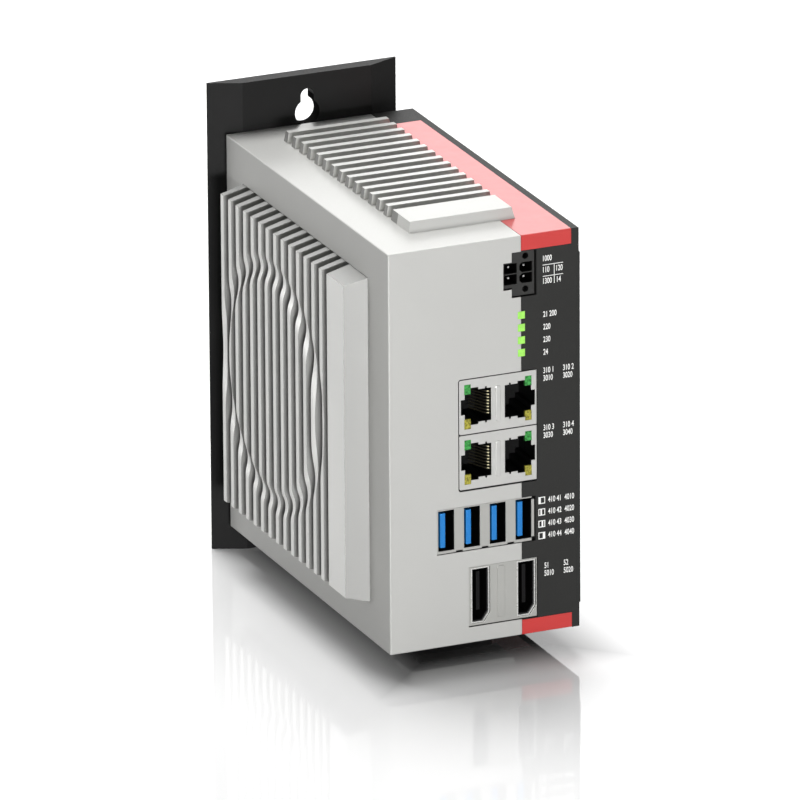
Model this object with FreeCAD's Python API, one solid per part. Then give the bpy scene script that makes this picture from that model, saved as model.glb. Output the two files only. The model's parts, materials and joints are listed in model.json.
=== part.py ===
import FreeCAD, Part
import math
import os

from FreeCAD import Vector

# Industrial PC for wall mounting, in millimetres.
# Everything is worked out from the housing's lower front left corner: x runs right along the front,
# y runs back from the front face and z runs up. save() then moves each piece into the part's own
# frame, whose origin is the centre of the mounting plate's rear face.

# Housing
HOUSING_WIDTH = 65.0
HOUSING_DEPTH = 129.0
HOUSING_HEIGHT = 132.0
SIDE_WALL = 3.5
FRONT_WALL = 2.5
REAR_WALL = 3.0
FLOOR_WALL = 3.0
EDGE_RADIUS = 0.4
SPLIT_EDGE_RADIUS = 0.3
# Black side cover: how deep it reaches in from the right, at the front and behind the front vent bar
COVER_DEPTH_FRONT = 20.0
COVER_DEPTH_REAR = 15.0
COVER_RIGHT_WALL = 2.5
PANEL_THICKNESS = 1.0
PANEL_PROUD = 0.3
PANEL_MARGIN = 8.0
PANEL_WINDOW_MARGIN = 8.0
# Coloured inlays
INLAY_THICKNESS = 1.0
INLAY_FRONT_BAND = 5.0
INLAY_RIGHT_BORDER = 3.0
INLAY_REAR_BORDER = 12.15
INLAY_CLEARANCE = 0.05

# Cooling fins and vent bars share one pitch, so that the air runs straight through
FIN_PITCH = 6.08
FIN_THICKNESS = 2.25
FIN_START = 30.25
FIN_REAR_MARGIN = 13.0
FRONT_BAR_WIDTH = 13.0
BAR_FRONT_DRAFT = 1.3
END_DRAFT = 0.4
SLOT_TAPER = 0.2
# Top and bottom vents
VENT_HEIGHT = 3.4
VENT_LEFT = 14.25
VENT_END_DRAFT = 0.6
VENT_SLOT_INSET = 3.0
# Side heat sink
SINK_HEIGHT = 7.75
SINK_DISC_RISE = 0.5
SINK_MARGIN = 12.5
SINK_END_DRAFT = 2.0
SINK_FLANGE = 4.0
SINK_FLANGE_OVERLAP = 3.1
WINDOW_CLEARANCE = 0.2
RING_RADIUS = 38.3
RING_OUTER_HALF = 4.7
RING_INNER_HALF = 5.9
RING_DEPTH = 0.8
INNER_FIN_TO_BOARD = 16.2
INNER_FIN_TOP_GAP = 10.0
INNER_FIN_BOTTOM = 18.0

# Mounting plate
PLATE_WIDTH = 65.1
PLATE_ABOVE = 16.4
PLATE_THICKNESS = 5.0
PLATE_LEFT_OVERHANG = 4.5
PLATE_BELOW = 8.6
PLATE_BEVEL = 10.3
PLATE_EDGE = 0.5
KEYHOLE_RADIUS = 4.25
KEYHOLE_SLOT_RADIUS = 2.25
KEYHOLE_ABOVE_HOUSING = 3.7
KEYHOLE_TRAVEL = 5.65
FOOT_SLOT_DEPTH = 6.0
PLATE_SCREW_RADIUS = 1.9
PLATE_SCREW_HEAD_RADIUS = 3.7
PLATE_SCREW_FROM_MIDDLE = 14.5
PLATE_SCREW_INSET_Z = 22.0
PLATE_SCREW_FROM_COVER = 7.45

# Mainboard and what is on it
BOARD_FROM_RIGHT = 14.8
BOARD_THICKNESS = 1.6
BOARD_CLEARANCE = 0.4
RAIL_WIDTH = 5.5
RAIL_DROP = 4.6
FRONT_RAIL_Y = 28.0
REAR_RAIL_FROM_REAR = 9.5
CASE_SCREW_RADIUS = 1.45
CASE_SCREW_HEAD_RADIUS = 2.5
CASE_SCREW_HEAD = 1.8
CASE_SCREW_GRIP = 11.0
SCREW_CLEARANCE = 0.15
THREAD_CLEARANCE = 0.05
PROCESSOR_LEVEL = 0.53
PROCESSOR_SIZE = 28.0
PROCESSOR_HEIGHT = 1.2
DIE_SIZE = 14.0
DIE_HEIGHT = 1.4
SPREADER_SIZE = 32.0
SPREADER_THICKNESS = 2.0
PAD_THICKNESS = 0.5
MEMORY_ABOVE_FLOOR = 27.2
MEMORY_FROM_TOP = 34.2
MEMORY_WIDTH = 30.0
MEMORY_THICKNESS = 1.0
DRIVE_LENGTH = 66.0
DRIVE_FROM_REAR = 26.0
DRIVE_FROM_TOP = 20.0
CELL_RADIUS = 10.0
CELL_FROM_REAR = 21.0
CELL_ABOVE_FLOOR = 29.0
CAPACITORS_FROM_TOP = 28.0

# Front connectors. The rows spread evenly between the lowest and the highest one: their gaps and half of
# the size of the status lights grow with the spread, and are given here for a spread of 1.
CUTOUT_MARGIN = 0.45
ROWS_SPREAD_OVER = 31.75
DISPLAY_BOTTOM = 5.45
DISPLAY_WIDTH = 23.35
DISPLAY_HEIGHT = 19.5
DISPLAY_PORT_WIDTH = 5.5
DISPLAY_PORT_HEIGHT = 17.55
DISPLAY_PORT_INSET = 1.15
DISPLAY_PORT_PITCH = 15.65
DISPLAY_DEPTH = 18.0
DISPLAY_RECESS = 0.45
DISPLAY_CAN_WALL = 0.3
DISPLAY_SHELL_WALL = 0.35
DISPLAY_SHELL_GAP = 0.4
USB_ABOVE_DISPLAY = 6.0
USB_HEIGHT = 14.6
USB_FROM_BOARD = 1.0
USB_SILL = 0.9
USB_PITCH_WIDEST = 8.77
USB_END_WALL = 0.54
USB_MOUTH_WIDTH = 5.45
USB_MOUTH_HEIGHT = 13.3
USB_DEPTH = 17.0
USB_TONGUE_THICKNESS = 1.8
USB_TONGUE_WIDTH = 11.3
LAN_ABOVE_USB = 5.45
LAN_WIDTH = 26.3
LAN_HEIGHT = 17.9
LAN_GAP = 0.35
LAN_DEPTH = 24.0
LAN_RECESS = 0.3
LAN_CORNER_RADIUS = 0.9
LAN_LAMP_DEPTH = 0.8
LAN_PORT_DEPTH = 13.0
LAN_DIVIDER_HALF = 2.3
LAN_CONTACT_PITCH = 1.02
LAN_CONTACT_WIDTH = 0.36
LAN_CONTACTS = 8
LED_COUNT = 4
LED_GAP = 1.67
LED_SIZE_SPREAD = 2.45
LED_BELOW_POWER = 5.225
POWER_FROM_TOP = 5.35
POWER_WIDTH = 7.5
POWER_HEIGHT = 14.3
POWER_FROM_BOARD = 0.7
POWER_DEPTH = 12.0
POWER_PITCH_X = 5.2
POWER_PITCH_Z = 3.6
POWER_KEY = 2.85
POWER_KEY_LOW = 2.8
POWER_KEY_HIGH = 3.3
POWER_RECESS = 0.35
POWER_PIN_WIDTH = 0.6
POWER_PIN_START = 2.0
POWER_CHAMBER_DEPTH = 9.5
METAL_SHEET = 0.35

# Fans: the frame is as wide as the room allows, and the other sizes are shares of it
FAN_HEIGHT = 10.0
FAN_GAP = 0.8
FAN_BORE_SHARE = 0.47
FAN_TIP_CLEARANCE = 0.5
FAN_BLADES = 7
FAN_HUB_SHARE = 0.20625
FAN_HUB_WALL = 1.0
FAN_HUB_GAP = 0.5
FAN_SHAFT_RADIUS = 1.0
FAN_SHAFT_CLEARANCE = 0.08
FAN_BEARING_SHARE = 0.0625
FAN_STATOR_SHARE = 0.806
FAN_SPIDER = 1.5
FAN_HOLE_RADIUS = 1.6
FAN_SCREW_RADIUS = 1.35
FAN_SCREW_HEAD_RADIUS = 2.6
FAN_SCREW_HEAD = 1.6
FAN_SCREW_GRIP = 2.0
FAN_HOLE_SHARE = 0.8
FAN_FROM_SINK = 0.4
FAN_FROM_BOARD = 2.3
FAN_FROM_RAIL = 1.2
TRAY_THICKNESS = 1.5

# Places worked out from the sizes above
W = HOUSING_WIDTH
D = HOUSING_DEPTH
H = HOUSING_HEIGHT
SPLIT_FRONT = W - COVER_DEPTH_FRONT
SPLIT_REAR = W - COVER_DEPTH_REAR
COVER_RIGHT = W - PANEL_PROUD
PANEL_LEFT = W - PANEL_THICKNESS
COVER_INSIDE = PANEL_LEFT - COVER_RIGHT_WALL
BOARD_LEFT = W - BOARD_FROM_RIGHT
BOARD_RIGHT = BOARD_LEFT + BOARD_THICKNESS
FIN_GAP = FIN_PITCH - FIN_THICKNESS
FIN_COUNT = int((D - FIN_REAR_MARGIN - FIN_START) / FIN_PITCH)
FIN_END = FIN_START + FIN_COUNT * FIN_PITCH
BAR_FRONT = FIN_START - FRONT_BAR_WIDTH
FIELD_FRONT = BAR_FRONT - BAR_FRONT_DRAFT
FIELD_REAR = FIN_END + END_DRAFT
FIELD_CENTRE = (FIN_START + FIN_GAP + FIN_END) / 2
SINK_LOW = SINK_MARGIN
SINK_TOP = H - SINK_MARGIN
SINK_INSIDE = SIDE_WALL + SINK_FLANGE
INNER_FIN_REACH = BOARD_LEFT - INNER_FIN_TO_BOARD - SINK_INSIDE
RAIL_YS = (FRONT_RAIL_Y, D - REAR_RAIL_FROM_REAR)
RAIL_ZS = (FLOOR_WALL + RAIL_DROP / 2, H - FLOOR_WALL - RAIL_DROP / 2)
RAIL_BANDS = ((FLOOR_WALL - 1, FLOOR_WALL + RAIL_DROP), (H - FLOOR_WALL - RAIL_DROP, H - FLOOR_WALL + 1))
PLATE_FRONT = D
PLATE_REAR = D + PLATE_THICKNESS
PLATE_MID_X = PLATE_WIDTH / 2 - PLATE_LEFT_OVERHANG
PLATE_HEIGHT = PLATE_BELOW + H + PLATE_ABOVE
PLATE_SCREW_XS = (PLATE_MID_X - PLATE_SCREW_FROM_MIDDLE,
                  min(PLATE_MID_X + PLATE_SCREW_FROM_MIDDLE, SPLIT_REAR - PLATE_SCREW_FROM_COVER))
PLATE_SCREW_ZS = (PLATE_SCREW_INSET_Z, H - PLATE_SCREW_INSET_Z)
SINK_SCREW_YS = (FIELD_FRONT - 3.8, FIELD_REAR + 3.8)
SINK_SCREW_ZS = (SINK_LOW + 5.5, H / 2, SINK_TOP - 5.5)
SHIFT = Vector(-PLATE_MID_X, -PLATE_REAR, PLATE_BELOW - PLATE_HEIGHT / 2)

PROCESSOR_Y = FIELD_CENTRE + 0.3
PROCESSOR_Z = H * PROCESSOR_LEVEL
MEMORY_LOW = FLOOR_WALL + MEMORY_ABOVE_FLOOR
MEMORY_HIGH = H - MEMORY_FROM_TOP

# Front rows: the spread is 1 at the height given above
DISPLAY_LEFT = BOARD_LEFT - DISPLAY_WIDTH
LAN_LEFT = BOARD_LEFT - LAN_WIDTH
LAN_MIDDLE = (LAN_LEFT + BOARD_LEFT) / 2 + 0.05
LAN_STACK = 2 * LAN_HEIGHT + LAN_GAP
ROWS = DISPLAY_HEIGHT + USB_HEIGHT + LAN_STACK + POWER_HEIGHT
LEDS_FIXED = LED_COUNT * LED_SIZE_SPREAD / 2
SPREAD = (H - DISPLAY_BOTTOM - POWER_FROM_TOP - ROWS - LEDS_FIXED) / ROWS_SPREAD_OVER
USB_BOTTOM = DISPLAY_BOTTOM + DISPLAY_HEIGHT + USB_ABOVE_DISPLAY * SPREAD
LAN_BOTTOM = USB_BOTTOM + USB_HEIGHT + LAN_ABOVE_USB * SPREAD
LED_SIZE = LED_SIZE_SPREAD * (1 + SPREAD) / 2
LED_PITCH = LED_SIZE + LED_GAP * SPREAD
LED_FROM_TOP = POWER_FROM_TOP + POWER_HEIGHT + LED_BELOW_POWER * SPREAD + LED_SIZE / 2
USB_RIGHT = BOARD_LEFT - USB_FROM_BOARD
USB_SPARE = USB_MOUTH_WIDTH + 2 * METAL_SHEET + USB_END_WALL
USB_PITCH = min(USB_PITCH_WIDEST, (USB_RIGHT - SINK_INSIDE - 0.3 - USB_SPARE) / 3)
USB_LEFT = USB_RIGHT - 3 * USB_PITCH - USB_SPARE
POWER_RIGHT = BOARD_LEFT - POWER_FROM_BOARD
POWER_LEFT = POWER_RIGHT - POWER_WIDTH
POWER_TOP = H - POWER_FROM_TOP
POWER_LOW = POWER_TOP - POWER_HEIGHT
POWER_KEY_LEFT = POWER_LEFT - POWER_KEY

# Fans: two in a row along the depth, between the rails and beside the mainboard
FAN_FLOOR = FLOOR_WALL + TRAY_THICKNESS
FAN_LEFT = SINK_INSIDE + FAN_FROM_SINK
FAN_ROOM = min(FIELD_CENTRE - RAIL_YS[0], RAIL_YS[1] - FIELD_CENTRE) - RAIL_WIDTH / 2 - FAN_GAP / 2
FAN_SIZE = min(BOARD_LEFT - FAN_FROM_BOARD - FAN_LEFT, FAN_ROOM - FAN_FROM_RAIL)
FAN_BORE = FAN_SIZE * FAN_BORE_SHARE
FAN_HUB_RADIUS = FAN_SIZE * FAN_HUB_SHARE
FAN_HOLE_PITCH = FAN_SIZE * FAN_HOLE_SHARE
FAN_BEARING_RADIUS = FAN_SIZE * FAN_BEARING_SHARE
FAN_X = FAN_LEFT + FAN_SIZE / 2
FAN_YS = (FIELD_CENTRE - (FAN_SIZE + FAN_GAP) / 2, FIELD_CENTRE + (FAN_SIZE + FAN_GAP) / 2)


# Small helpers

def block(x0, x1, y0, y1, z0, z1):
    """Box between two corners."""
    return Part.makeBox(x1 - x0, y1 - y0, z1 - z0, Vector(x0, y0, z0))


def rod(axis, x, y, z, radius, length):
    """Cylinder that starts at a point and runs along one axis."""
    directions = {"x": Vector(1, 0, 0), "y": Vector(0, 1, 0), "z": Vector(0, 0, 1)}
    return Part.makeCylinder(radius, length, Vector(x, y, z), directions[axis])


def prism(axis, points, start, length):
    """Closed outline drawn across an axis and pushed along it."""
    place = {
        "x": lambda a, b: Vector(start, a, b),
        "y": lambda a, b: Vector(a, start, b),
        "z": lambda a, b: Vector(a, b, start),
    }[axis]
    push = {"x": Vector(length, 0, 0), "y": Vector(0, length, 0), "z": Vector(0, 0, length)}[axis]
    corners = [place(a, b) for a, b in points]
    return Part.Face(Part.makePolygon(corners + corners[:1])).extrude(push)


def drafted(axis, base, base_rect, top, top_rect):
    """Block with sloping sides between two rectangles, each (a0, a1, b0, b1), across an axis."""
    wires = []
    for level, (a0, a1, b0, b1) in ((base, base_rect), (top, top_rect)):
        pairs = ((a0, b0), (a1, b0), (a1, b1), (a0, b1))
        if axis == "x":
            corners = [Vector(level, a, b) for a, b in pairs]
        else:
            corners = [Vector(a, b, level) for a, b in pairs]
        wires.append(Part.makePolygon(corners + corners[:1]))
    return Part.makeLoft(wires, True, True)


def fuse(shapes):
    """One solid from pieces that touch or overlap."""
    return shapes[0].multiFuse(shapes[1:]).removeSplitter()


def round_edges(shape, radius, keep):
    """Fillet the edges that the test picks."""
    edges = [edge for edge in shape.Edges if keep(edge.BoundBox)]
    return shape.makeFillet(radius, edges)


def pan_screw(axis, x, y, z, head_radius, head, radius, length, sign):
    """Pan head screw with a hexagon socket: the point is under its head, the shank runs along sign."""
    parts = []
    away = -head if sign > 0 else 0.0
    along = 0.0 if sign > 0 else -length
    socket = head * 0.55
    offsets = {"x": (1, 0, 0), "y": (0, 1, 0), "z": (0, 0, 1)}[axis]
    head_at = [c + o * away for c, o in zip((x, y, z), offsets)]
    shank_at = [c + o * along for c, o in zip((x, y, z), offsets)]
    parts.append(rod(axis, *head_at, head_radius, head))
    parts.append(rod(axis, *shank_at, radius, length))
    across = head_radius * 0.5
    angles = [math.radians(60 * k + 30) for k in range(6)]
    planar = {"x": (y, z), "y": (x, z), "z": (x, y)}[axis]
    hexagon = [(planar[0] + across * math.cos(a), planar[1] + across * math.sin(a)) for a in angles]
    level = {"x": x, "y": y, "z": z}[axis]
    start = level - head if sign > 0 else level + head - socket
    return fuse(parts).cut(prism(axis, hexagon, start, socket))


def save(name, *solids):
    """Move the solids into the part's frame, test them and write the node's file."""
    placed = []
    for solid in solids:
        for piece in solid.Solids:
            moved = piece.copy()
            moved.translate(SHIFT)
            if not moved.isValid() or not moved.isClosed():
                raise ValueError(name + " is not a closed, valid solid")
            placed.append(moved)
    shape = placed[0] if len(placed) == 1 else Part.makeCompound(placed)
    shape.exportStep("parts/" + name + ".step")
    print(name, len(placed), round(sum(piece.Volume for piece in placed), 1))


# Cut-outs of the front wall, shared by the housing and the cover

def lan_bottoms():
    """Undersides of the lower and the upper module."""
    return [LAN_BOTTOM, LAN_BOTTOM + LAN_HEIGHT + LAN_GAP]


def led_centres():
    return [H - LED_FROM_TOP - k * LED_PITCH for k in range(LED_COUNT)]


def front_cutouts():
    """Openings of the front wall for the display, USB, LAN and power sockets and the status lights."""
    m = CUTOUT_MARGIN
    deep = FRONT_WALL + 1.0
    right = BOARD_LEFT + m / 4
    cuts = [block(DISPLAY_LEFT - m / 4, right, -1, deep, DISPLAY_BOTTOM - m / 2,
                  DISPLAY_BOTTOM + DISPLAY_HEIGHT + m / 2)]
    cuts.append(block(USB_LEFT - m / 4, USB_RIGHT + m, -1, deep, USB_BOTTOM - m / 2,
                      USB_BOTTOM + USB_HEIGHT + m / 4))
    lan = block(LAN_LEFT - m, right, -1, deep, LAN_BOTTOM - m, LAN_BOTTOM + LAN_STACK + m)
    cuts.append(round_edges(lan, LAN_CORNER_RADIUS, lambda box: box.YLength > deep and box.XLength < 0.01))
    cuts += power_outline(m / 2)
    light_x = SPLIT_FRONT
    for z in led_centres():
        half = LED_SIZE / 2
        cuts.append(block(light_x - half, light_x + half, -1, deep, z - half, z + half))
    return cuts


def power_outline(margin):
    """Plug flange and the key beside it, as two boxes through the front wall."""
    deep = FRONT_WALL + 1.0
    below = 2 * margin
    return [
        block(POWER_LEFT - margin, POWER_RIGHT + 3 * margin, -1, deep,
              POWER_LOW - below, POWER_TOP + margin / 2),
        block(POWER_KEY_LEFT - margin, POWER_LEFT, -1, deep,
              POWER_LOW + POWER_KEY_LOW - below, POWER_TOP - POWER_KEY_HIGH + margin),
    ]


# Cast housing

def vent_bars(sign):
    """Drafted block on the top or the bottom face, cut into bars by slots of the fin pitch."""
    base = H if sign > 0 else 0.0
    root = base - sign * FLOOR_WALL / 2
    top = base + sign * VENT_HEIGHT
    grow = VENT_END_DRAFT * (1 + FLOOR_WALL / 2 / VENT_HEIGHT)
    full = VENT_HEIGHT + FLOOR_WALL / 2
    front_grow = BAR_FRONT_DRAFT * full / VENT_HEIGHT
    rear_grow = END_DRAFT * full / VENT_HEIGHT
    upper = (VENT_LEFT + VENT_END_DRAFT, SPLIT_REAR - VENT_END_DRAFT, BAR_FRONT, FIN_END)
    lower = (upper[0] - grow, upper[1] + grow, upper[2] - front_grow, upper[3] + rear_grow)
    bars = drafted("z", root, lower, top, upper)
    inside = block(VENT_LEFT - 5, SPLIT_REAR, 0, D, base - 6, base + 6)
    bars = bars.common(inside)
    if sign > 0:
        above = block(0, W, 0, D, base, base + 2 * VENT_HEIGHT)
    else:
        above = block(0, W, 0, D, base - 2 * VENT_HEIGHT, base)
    slots = []
    for k in range(FIN_COUNT):
        y0 = FIN_START + k * FIN_PITCH
        y1 = y0 + FIN_GAP
        outline = [(y0, top + sign), (y1, top + sign), (y1 - SLOT_TAPER, base), (y0 + SLOT_TAPER, base)]
        slots.append(prism("x", outline, VENT_LEFT - 5, SPLIT_REAR - VENT_LEFT + 10))
    return bars.common(above).cut(slots)


def vent_openings(sign):
    """Slots through the wall under the gaps between the bars."""
    base = H if sign > 0 else 0.0
    openings = []
    for k in range(FIN_COUNT):
        y0 = FIN_START + k * FIN_PITCH + SLOT_TAPER
        y1 = FIN_START + k * FIN_PITCH + FIN_GAP - SLOT_TAPER
        low = base - FLOOR_WALL - 1 if sign > 0 else base - 0.01
        high = base + 0.01 if sign > 0 else base + FLOOR_WALL + 1
        openings.append(block(VENT_LEFT + VENT_SLOT_INSET, SPLIT_REAR - VENT_SLOT_INSET, y0, y1, low, high))
    return openings


def rails():
    """Four cast rails across the housing that carry the mainboard and take the case screws."""
    half = RAIL_WIDTH / 2
    pieces = []
    for y in RAIL_YS:
        for low, high in RAIL_BANDS:
            pieces.append(block(SIDE_WALL - 1, BOARD_LEFT, y - half, y + half, low, high))
    return pieces


def main_housing():
    outline = [(0, 0), (SPLIT_FRONT, 0), (SPLIT_FRONT, FIELD_FRONT), (SPLIT_REAR, FIELD_FRONT),
               (SPLIT_REAR, D), (0, D)]
    body = prism("z", outline, 0, H)
    body = round_edges(body, EDGE_RADIUS, lambda box: box.XMax < 0.01 or
                       (box.YMax < 0.01 and box.XLength > 1.0))
    body = round_edges(body, SPLIT_EDGE_RADIUS, lambda box: box.YMax < 0.01 and box.ZLength > 1.0 and
                       box.XMin > SPLIT_FRONT - 0.01)
    body = body.cut(block(SIDE_WALL, W, FRONT_WALL, D - REAR_WALL, FLOOR_WALL, H - FLOOR_WALL))
    body = fuse([body, vent_bars(1), vent_bars(-1)] + rails())
    cuts = vent_openings(1) + vent_openings(-1) + front_cutouts()
    c = WINDOW_CLEARANCE
    cuts.append(block(-1, SIDE_WALL + 0.01, FIELD_FRONT - c, FIELD_REAR + c, SINK_LOW - c, SINK_TOP + c))
    for y in RAIL_YS:
        for z in RAIL_ZS:
            start = BOARD_LEFT - CASE_SCREW_GRIP - 1
            cuts.append(rod("x", start, y, z, CASE_SCREW_RADIUS + THREAD_CLEARANCE, CASE_SCREW_GRIP + 2))
    for y in SINK_SCREW_YS:
        for z in SINK_SCREW_ZS:
            cuts.append(rod("x", SIDE_WALL - 2.6, y, z, CASE_SCREW_RADIUS + THREAD_CLEARANCE, 4))
    for x in PLATE_SCREW_XS:
        for z in PLATE_SCREW_ZS:
            hole = PLATE_SCREW_RADIUS + THREAD_CLEARANCE
            cuts.append(rod("y", x, D - REAR_WALL - 1, z, hole, REAR_WALL + 2))
    for x, y in fan_screw_places(-1):
        hole = FAN_SCREW_RADIUS + THREAD_CLEARANCE
        cuts.append(rod("z", x, y, FLOOR_WALL - FAN_SCREW_GRIP - 0.3, hole, FLOOR_WALL))
    save("main_housing", body.cut(cuts))


# Heat sink: the ring is turned into the block before the gaps are milled

def ring_cutter():
    """Turned groove: two pairs of tangent arcs lead from the outer level through the groove to the disc."""
    outer = SINK_HEIGHT
    disc = SINK_HEIGHT + SINK_DISC_RISE
    low = SINK_HEIGHT - RING_DEPTH

    def half(width, rise, side, level):
        """Arcs from the groove's floor up to a level, bulging first one way and then the other."""
        angle = 2 * math.atan(rise / width)
        radius = width / (2 * math.sin(angle))
        foot = Vector(-low, 0, RING_RADIUS)
        tip = Vector(-level, 0, RING_RADIUS + side * width)
        mid = (foot + tip) * 0.5
        quarter = angle / 2
        lift = radius * (1 - math.cos(quarter))
        reach = radius * math.sin(quarter)
        near = Vector(-(low + lift), 0, RING_RADIUS + side * reach)
        far = Vector(-(level - lift), 0, RING_RADIUS + side * (width - reach))
        return [Part.Arc(foot, near, mid).toShape(), Part.Arc(mid, far, tip).toShape()], tip

    outer_arcs, outer_tip = half(RING_OUTER_HALF, RING_DEPTH, 1, outer)
    inner_arcs, inner_tip = half(RING_INNER_HALF, RING_DEPTH + SINK_DISC_RISE, -1, disc)
    reach = math.hypot(D, H)
    rim = Vector(-outer, 0, reach)
    sky_rim = Vector(-disc - 5, 0, reach)
    sky = Vector(-disc - 5, 0, inner_tip.z)
    lines = [(outer_tip, rim), (rim, sky_rim), (sky_rim, sky), (sky, inner_tip)]
    edges = outer_arcs + inner_arcs + [Part.makeLine(a, b) for a, b in lines]
    face = Part.Face(Part.Wire(Part.__sortEdges__(edges)))
    turned = face.revolve(Vector(0, 0, 0), Vector(1, 0, 0), 360)
    turned.translate(Vector(0, FIELD_CENTRE, H / 2))
    return turned


def heat_sink():
    full = SINK_HEIGHT + SINK_DISC_RISE
    slope = full / SINK_HEIGHT
    base = (FIELD_FRONT, FIELD_REAR, SINK_LOW, SINK_TOP)
    crown = (FIELD_FRONT + BAR_FRONT_DRAFT * slope, FIELD_REAR - END_DRAFT * slope,
             SINK_LOW + SINK_END_DRAFT * slope, SINK_TOP - SINK_END_DRAFT * slope)
    outside = drafted("x", 0.0, base, -full, crown).cut(ring_cutter())
    lap = SINK_FLANGE_OVERLAP
    flange = block(SIDE_WALL, SINK_INSIDE, SINK_SCREW_YS[0] - 3.6, SINK_SCREW_YS[1] + 3.6,
                   SINK_LOW - lap, SINK_TOP + lap)
    flange = round_edges(flange, 2.0, lambda box: box.XLength > 1.0)
    neck = block(0.0, SIDE_WALL, *base)
    inner = []
    for k in range(FIN_COUNT):
        y1 = FIN_START + (k + 1) * FIN_PITCH
        y0 = y1 - FIN_THICKNESS
        inner.append(block(SINK_INSIDE, SINK_INSIDE + INNER_FIN_REACH, y0, y1,
                           INNER_FIN_BOTTOM, H - FLOOR_WALL - INNER_FIN_TOP_GAP))
    half = SPREADER_SIZE / 2
    pedestal = block(SINK_INSIDE, spreader_left() - PAD_THICKNESS, PROCESSOR_Y - half,
                     PROCESSOR_Y + half, PROCESSOR_Z - half, PROCESSOR_Z + half)
    body = fuse([outside, neck, flange] + inner + [pedestal])
    gaps = []
    for k in range(FIN_COUNT):
        y0 = FIN_START + k * FIN_PITCH
        outline = [(-full - 1, y0), (-full - 1, y0 + FIN_GAP), (0, y0 + FIN_GAP - SLOT_TAPER),
                   (SIDE_WALL, y0 + FIN_GAP - SLOT_TAPER), (SIDE_WALL, y0 + SLOT_TAPER), (0, y0 + SLOT_TAPER)]
        gaps.append(prism("z", outline, 0, H))
    for y in SINK_SCREW_YS:
        for z in SINK_SCREW_ZS:
            gaps.append(rod("x", SIDE_WALL - 1, y, z, CASE_SCREW_RADIUS + SCREW_CLEARANCE, SINK_FLANGE + 2))
    save("heat_sink", body.cut(gaps))


def heat_sink_screws():
    screws = []
    under_head = SINK_INSIDE
    for y in SINK_SCREW_YS:
        for z in SINK_SCREW_ZS:
            screws.append(pan_screw("x", under_head, y, z, CASE_SCREW_HEAD_RADIUS, CASE_SCREW_HEAD,
                                    CASE_SCREW_RADIUS, SINK_FLANGE + 2.3, -1))
    save("heat_sink_screws", *screws)


# Side cover, its panel and the inlays

def inlay(sign, grow):
    """Inlay over the top or bottom edge: a sheet on the face and a band down the front."""
    right = W - INLAY_RIGHT_BORDER + grow
    rear = D - INLAY_REAR_BORDER + grow
    t = INLAY_THICKNESS
    front_left = SPLIT_FRONT
    rear_left = SPLIT_REAR
    face = [(front_left, 0), (right, 0), (right, rear), (rear_left, rear), (rear_left, FIELD_FRONT),
            (front_left, FIELD_FRONT)]
    if sign > 0:
        sheet = prism("z", face, H - t, t)
        band = block(front_left, right, 0, t, H - INLAY_FRONT_BAND - grow, H)
    else:
        sheet = prism("z", face, 0, t)
        band = block(front_left, right, 0, t, 0, INLAY_FRONT_BAND + grow)
    return fuse([sheet, band])


def side_cover():
    outline = [(SPLIT_FRONT, 0), (COVER_RIGHT, 0), (COVER_RIGHT, D), (SPLIT_REAR, D),
               (SPLIT_REAR, FIELD_FRONT), (SPLIT_FRONT, FIELD_FRONT)]
    body = prism("z", outline, 0, H)
    body = round_edges(body, EDGE_RADIUS, lambda box: box.XMin > COVER_RIGHT - 0.01)
    body = body.cut(block(0, COVER_INSIDE, FRONT_WALL, D - REAR_WALL, FLOOR_WALL, H - FLOOR_WALL))
    half = RAIL_WIDTH / 2
    posts = []
    for y in RAIL_YS:
        for low, high in RAIL_BANDS:
            posts.append(block(BOARD_RIGHT, COVER_INSIDE + 1, y - half, y + half, low, high))
    body = fuse([body] + posts)
    m = PANEL_WINDOW_MARGIN
    low = PANEL_MARGIN
    high = H - PANEL_MARGIN
    cuts = [block(PANEL_LEFT, W + 1, -1, D + 1, low, high),
            block(COVER_INSIDE - 0.5, W, FRONT_WALL + m, D - REAR_WALL - m, low + m, high - m),
            inlay(1, 0.0), inlay(-1, 0.0)]
    for y in RAIL_YS:
        for z in RAIL_ZS:
            cuts.append(rod("x", BOARD_RIGHT - 1, y, z, CASE_SCREW_RADIUS + SCREW_CLEARANCE, W))
            head_seat = PANEL_LEFT - CASE_SCREW_HEAD - 0.1
            cuts.append(rod("x", head_seat, y, z, CASE_SCREW_HEAD_RADIUS + SCREW_CLEARANCE, W))
    for y, z in panel_screw_places():
        cuts.append(rod("x", COVER_INSIDE - 1, y, z, CASE_SCREW_RADIUS + THREAD_CLEARANCE, W))
    save("side_cover", body.cut(cuts + front_cutouts()))


def panel_screw_places():
    inset = PANEL_WINDOW_MARGIN / 2
    ys = (FRONT_WALL + inset, D - REAR_WALL - inset)
    zs = (PANEL_MARGIN + inset + 2.0, H - PANEL_MARGIN - inset - 2.0)
    return [(y, z) for y in ys for z in zs]


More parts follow.
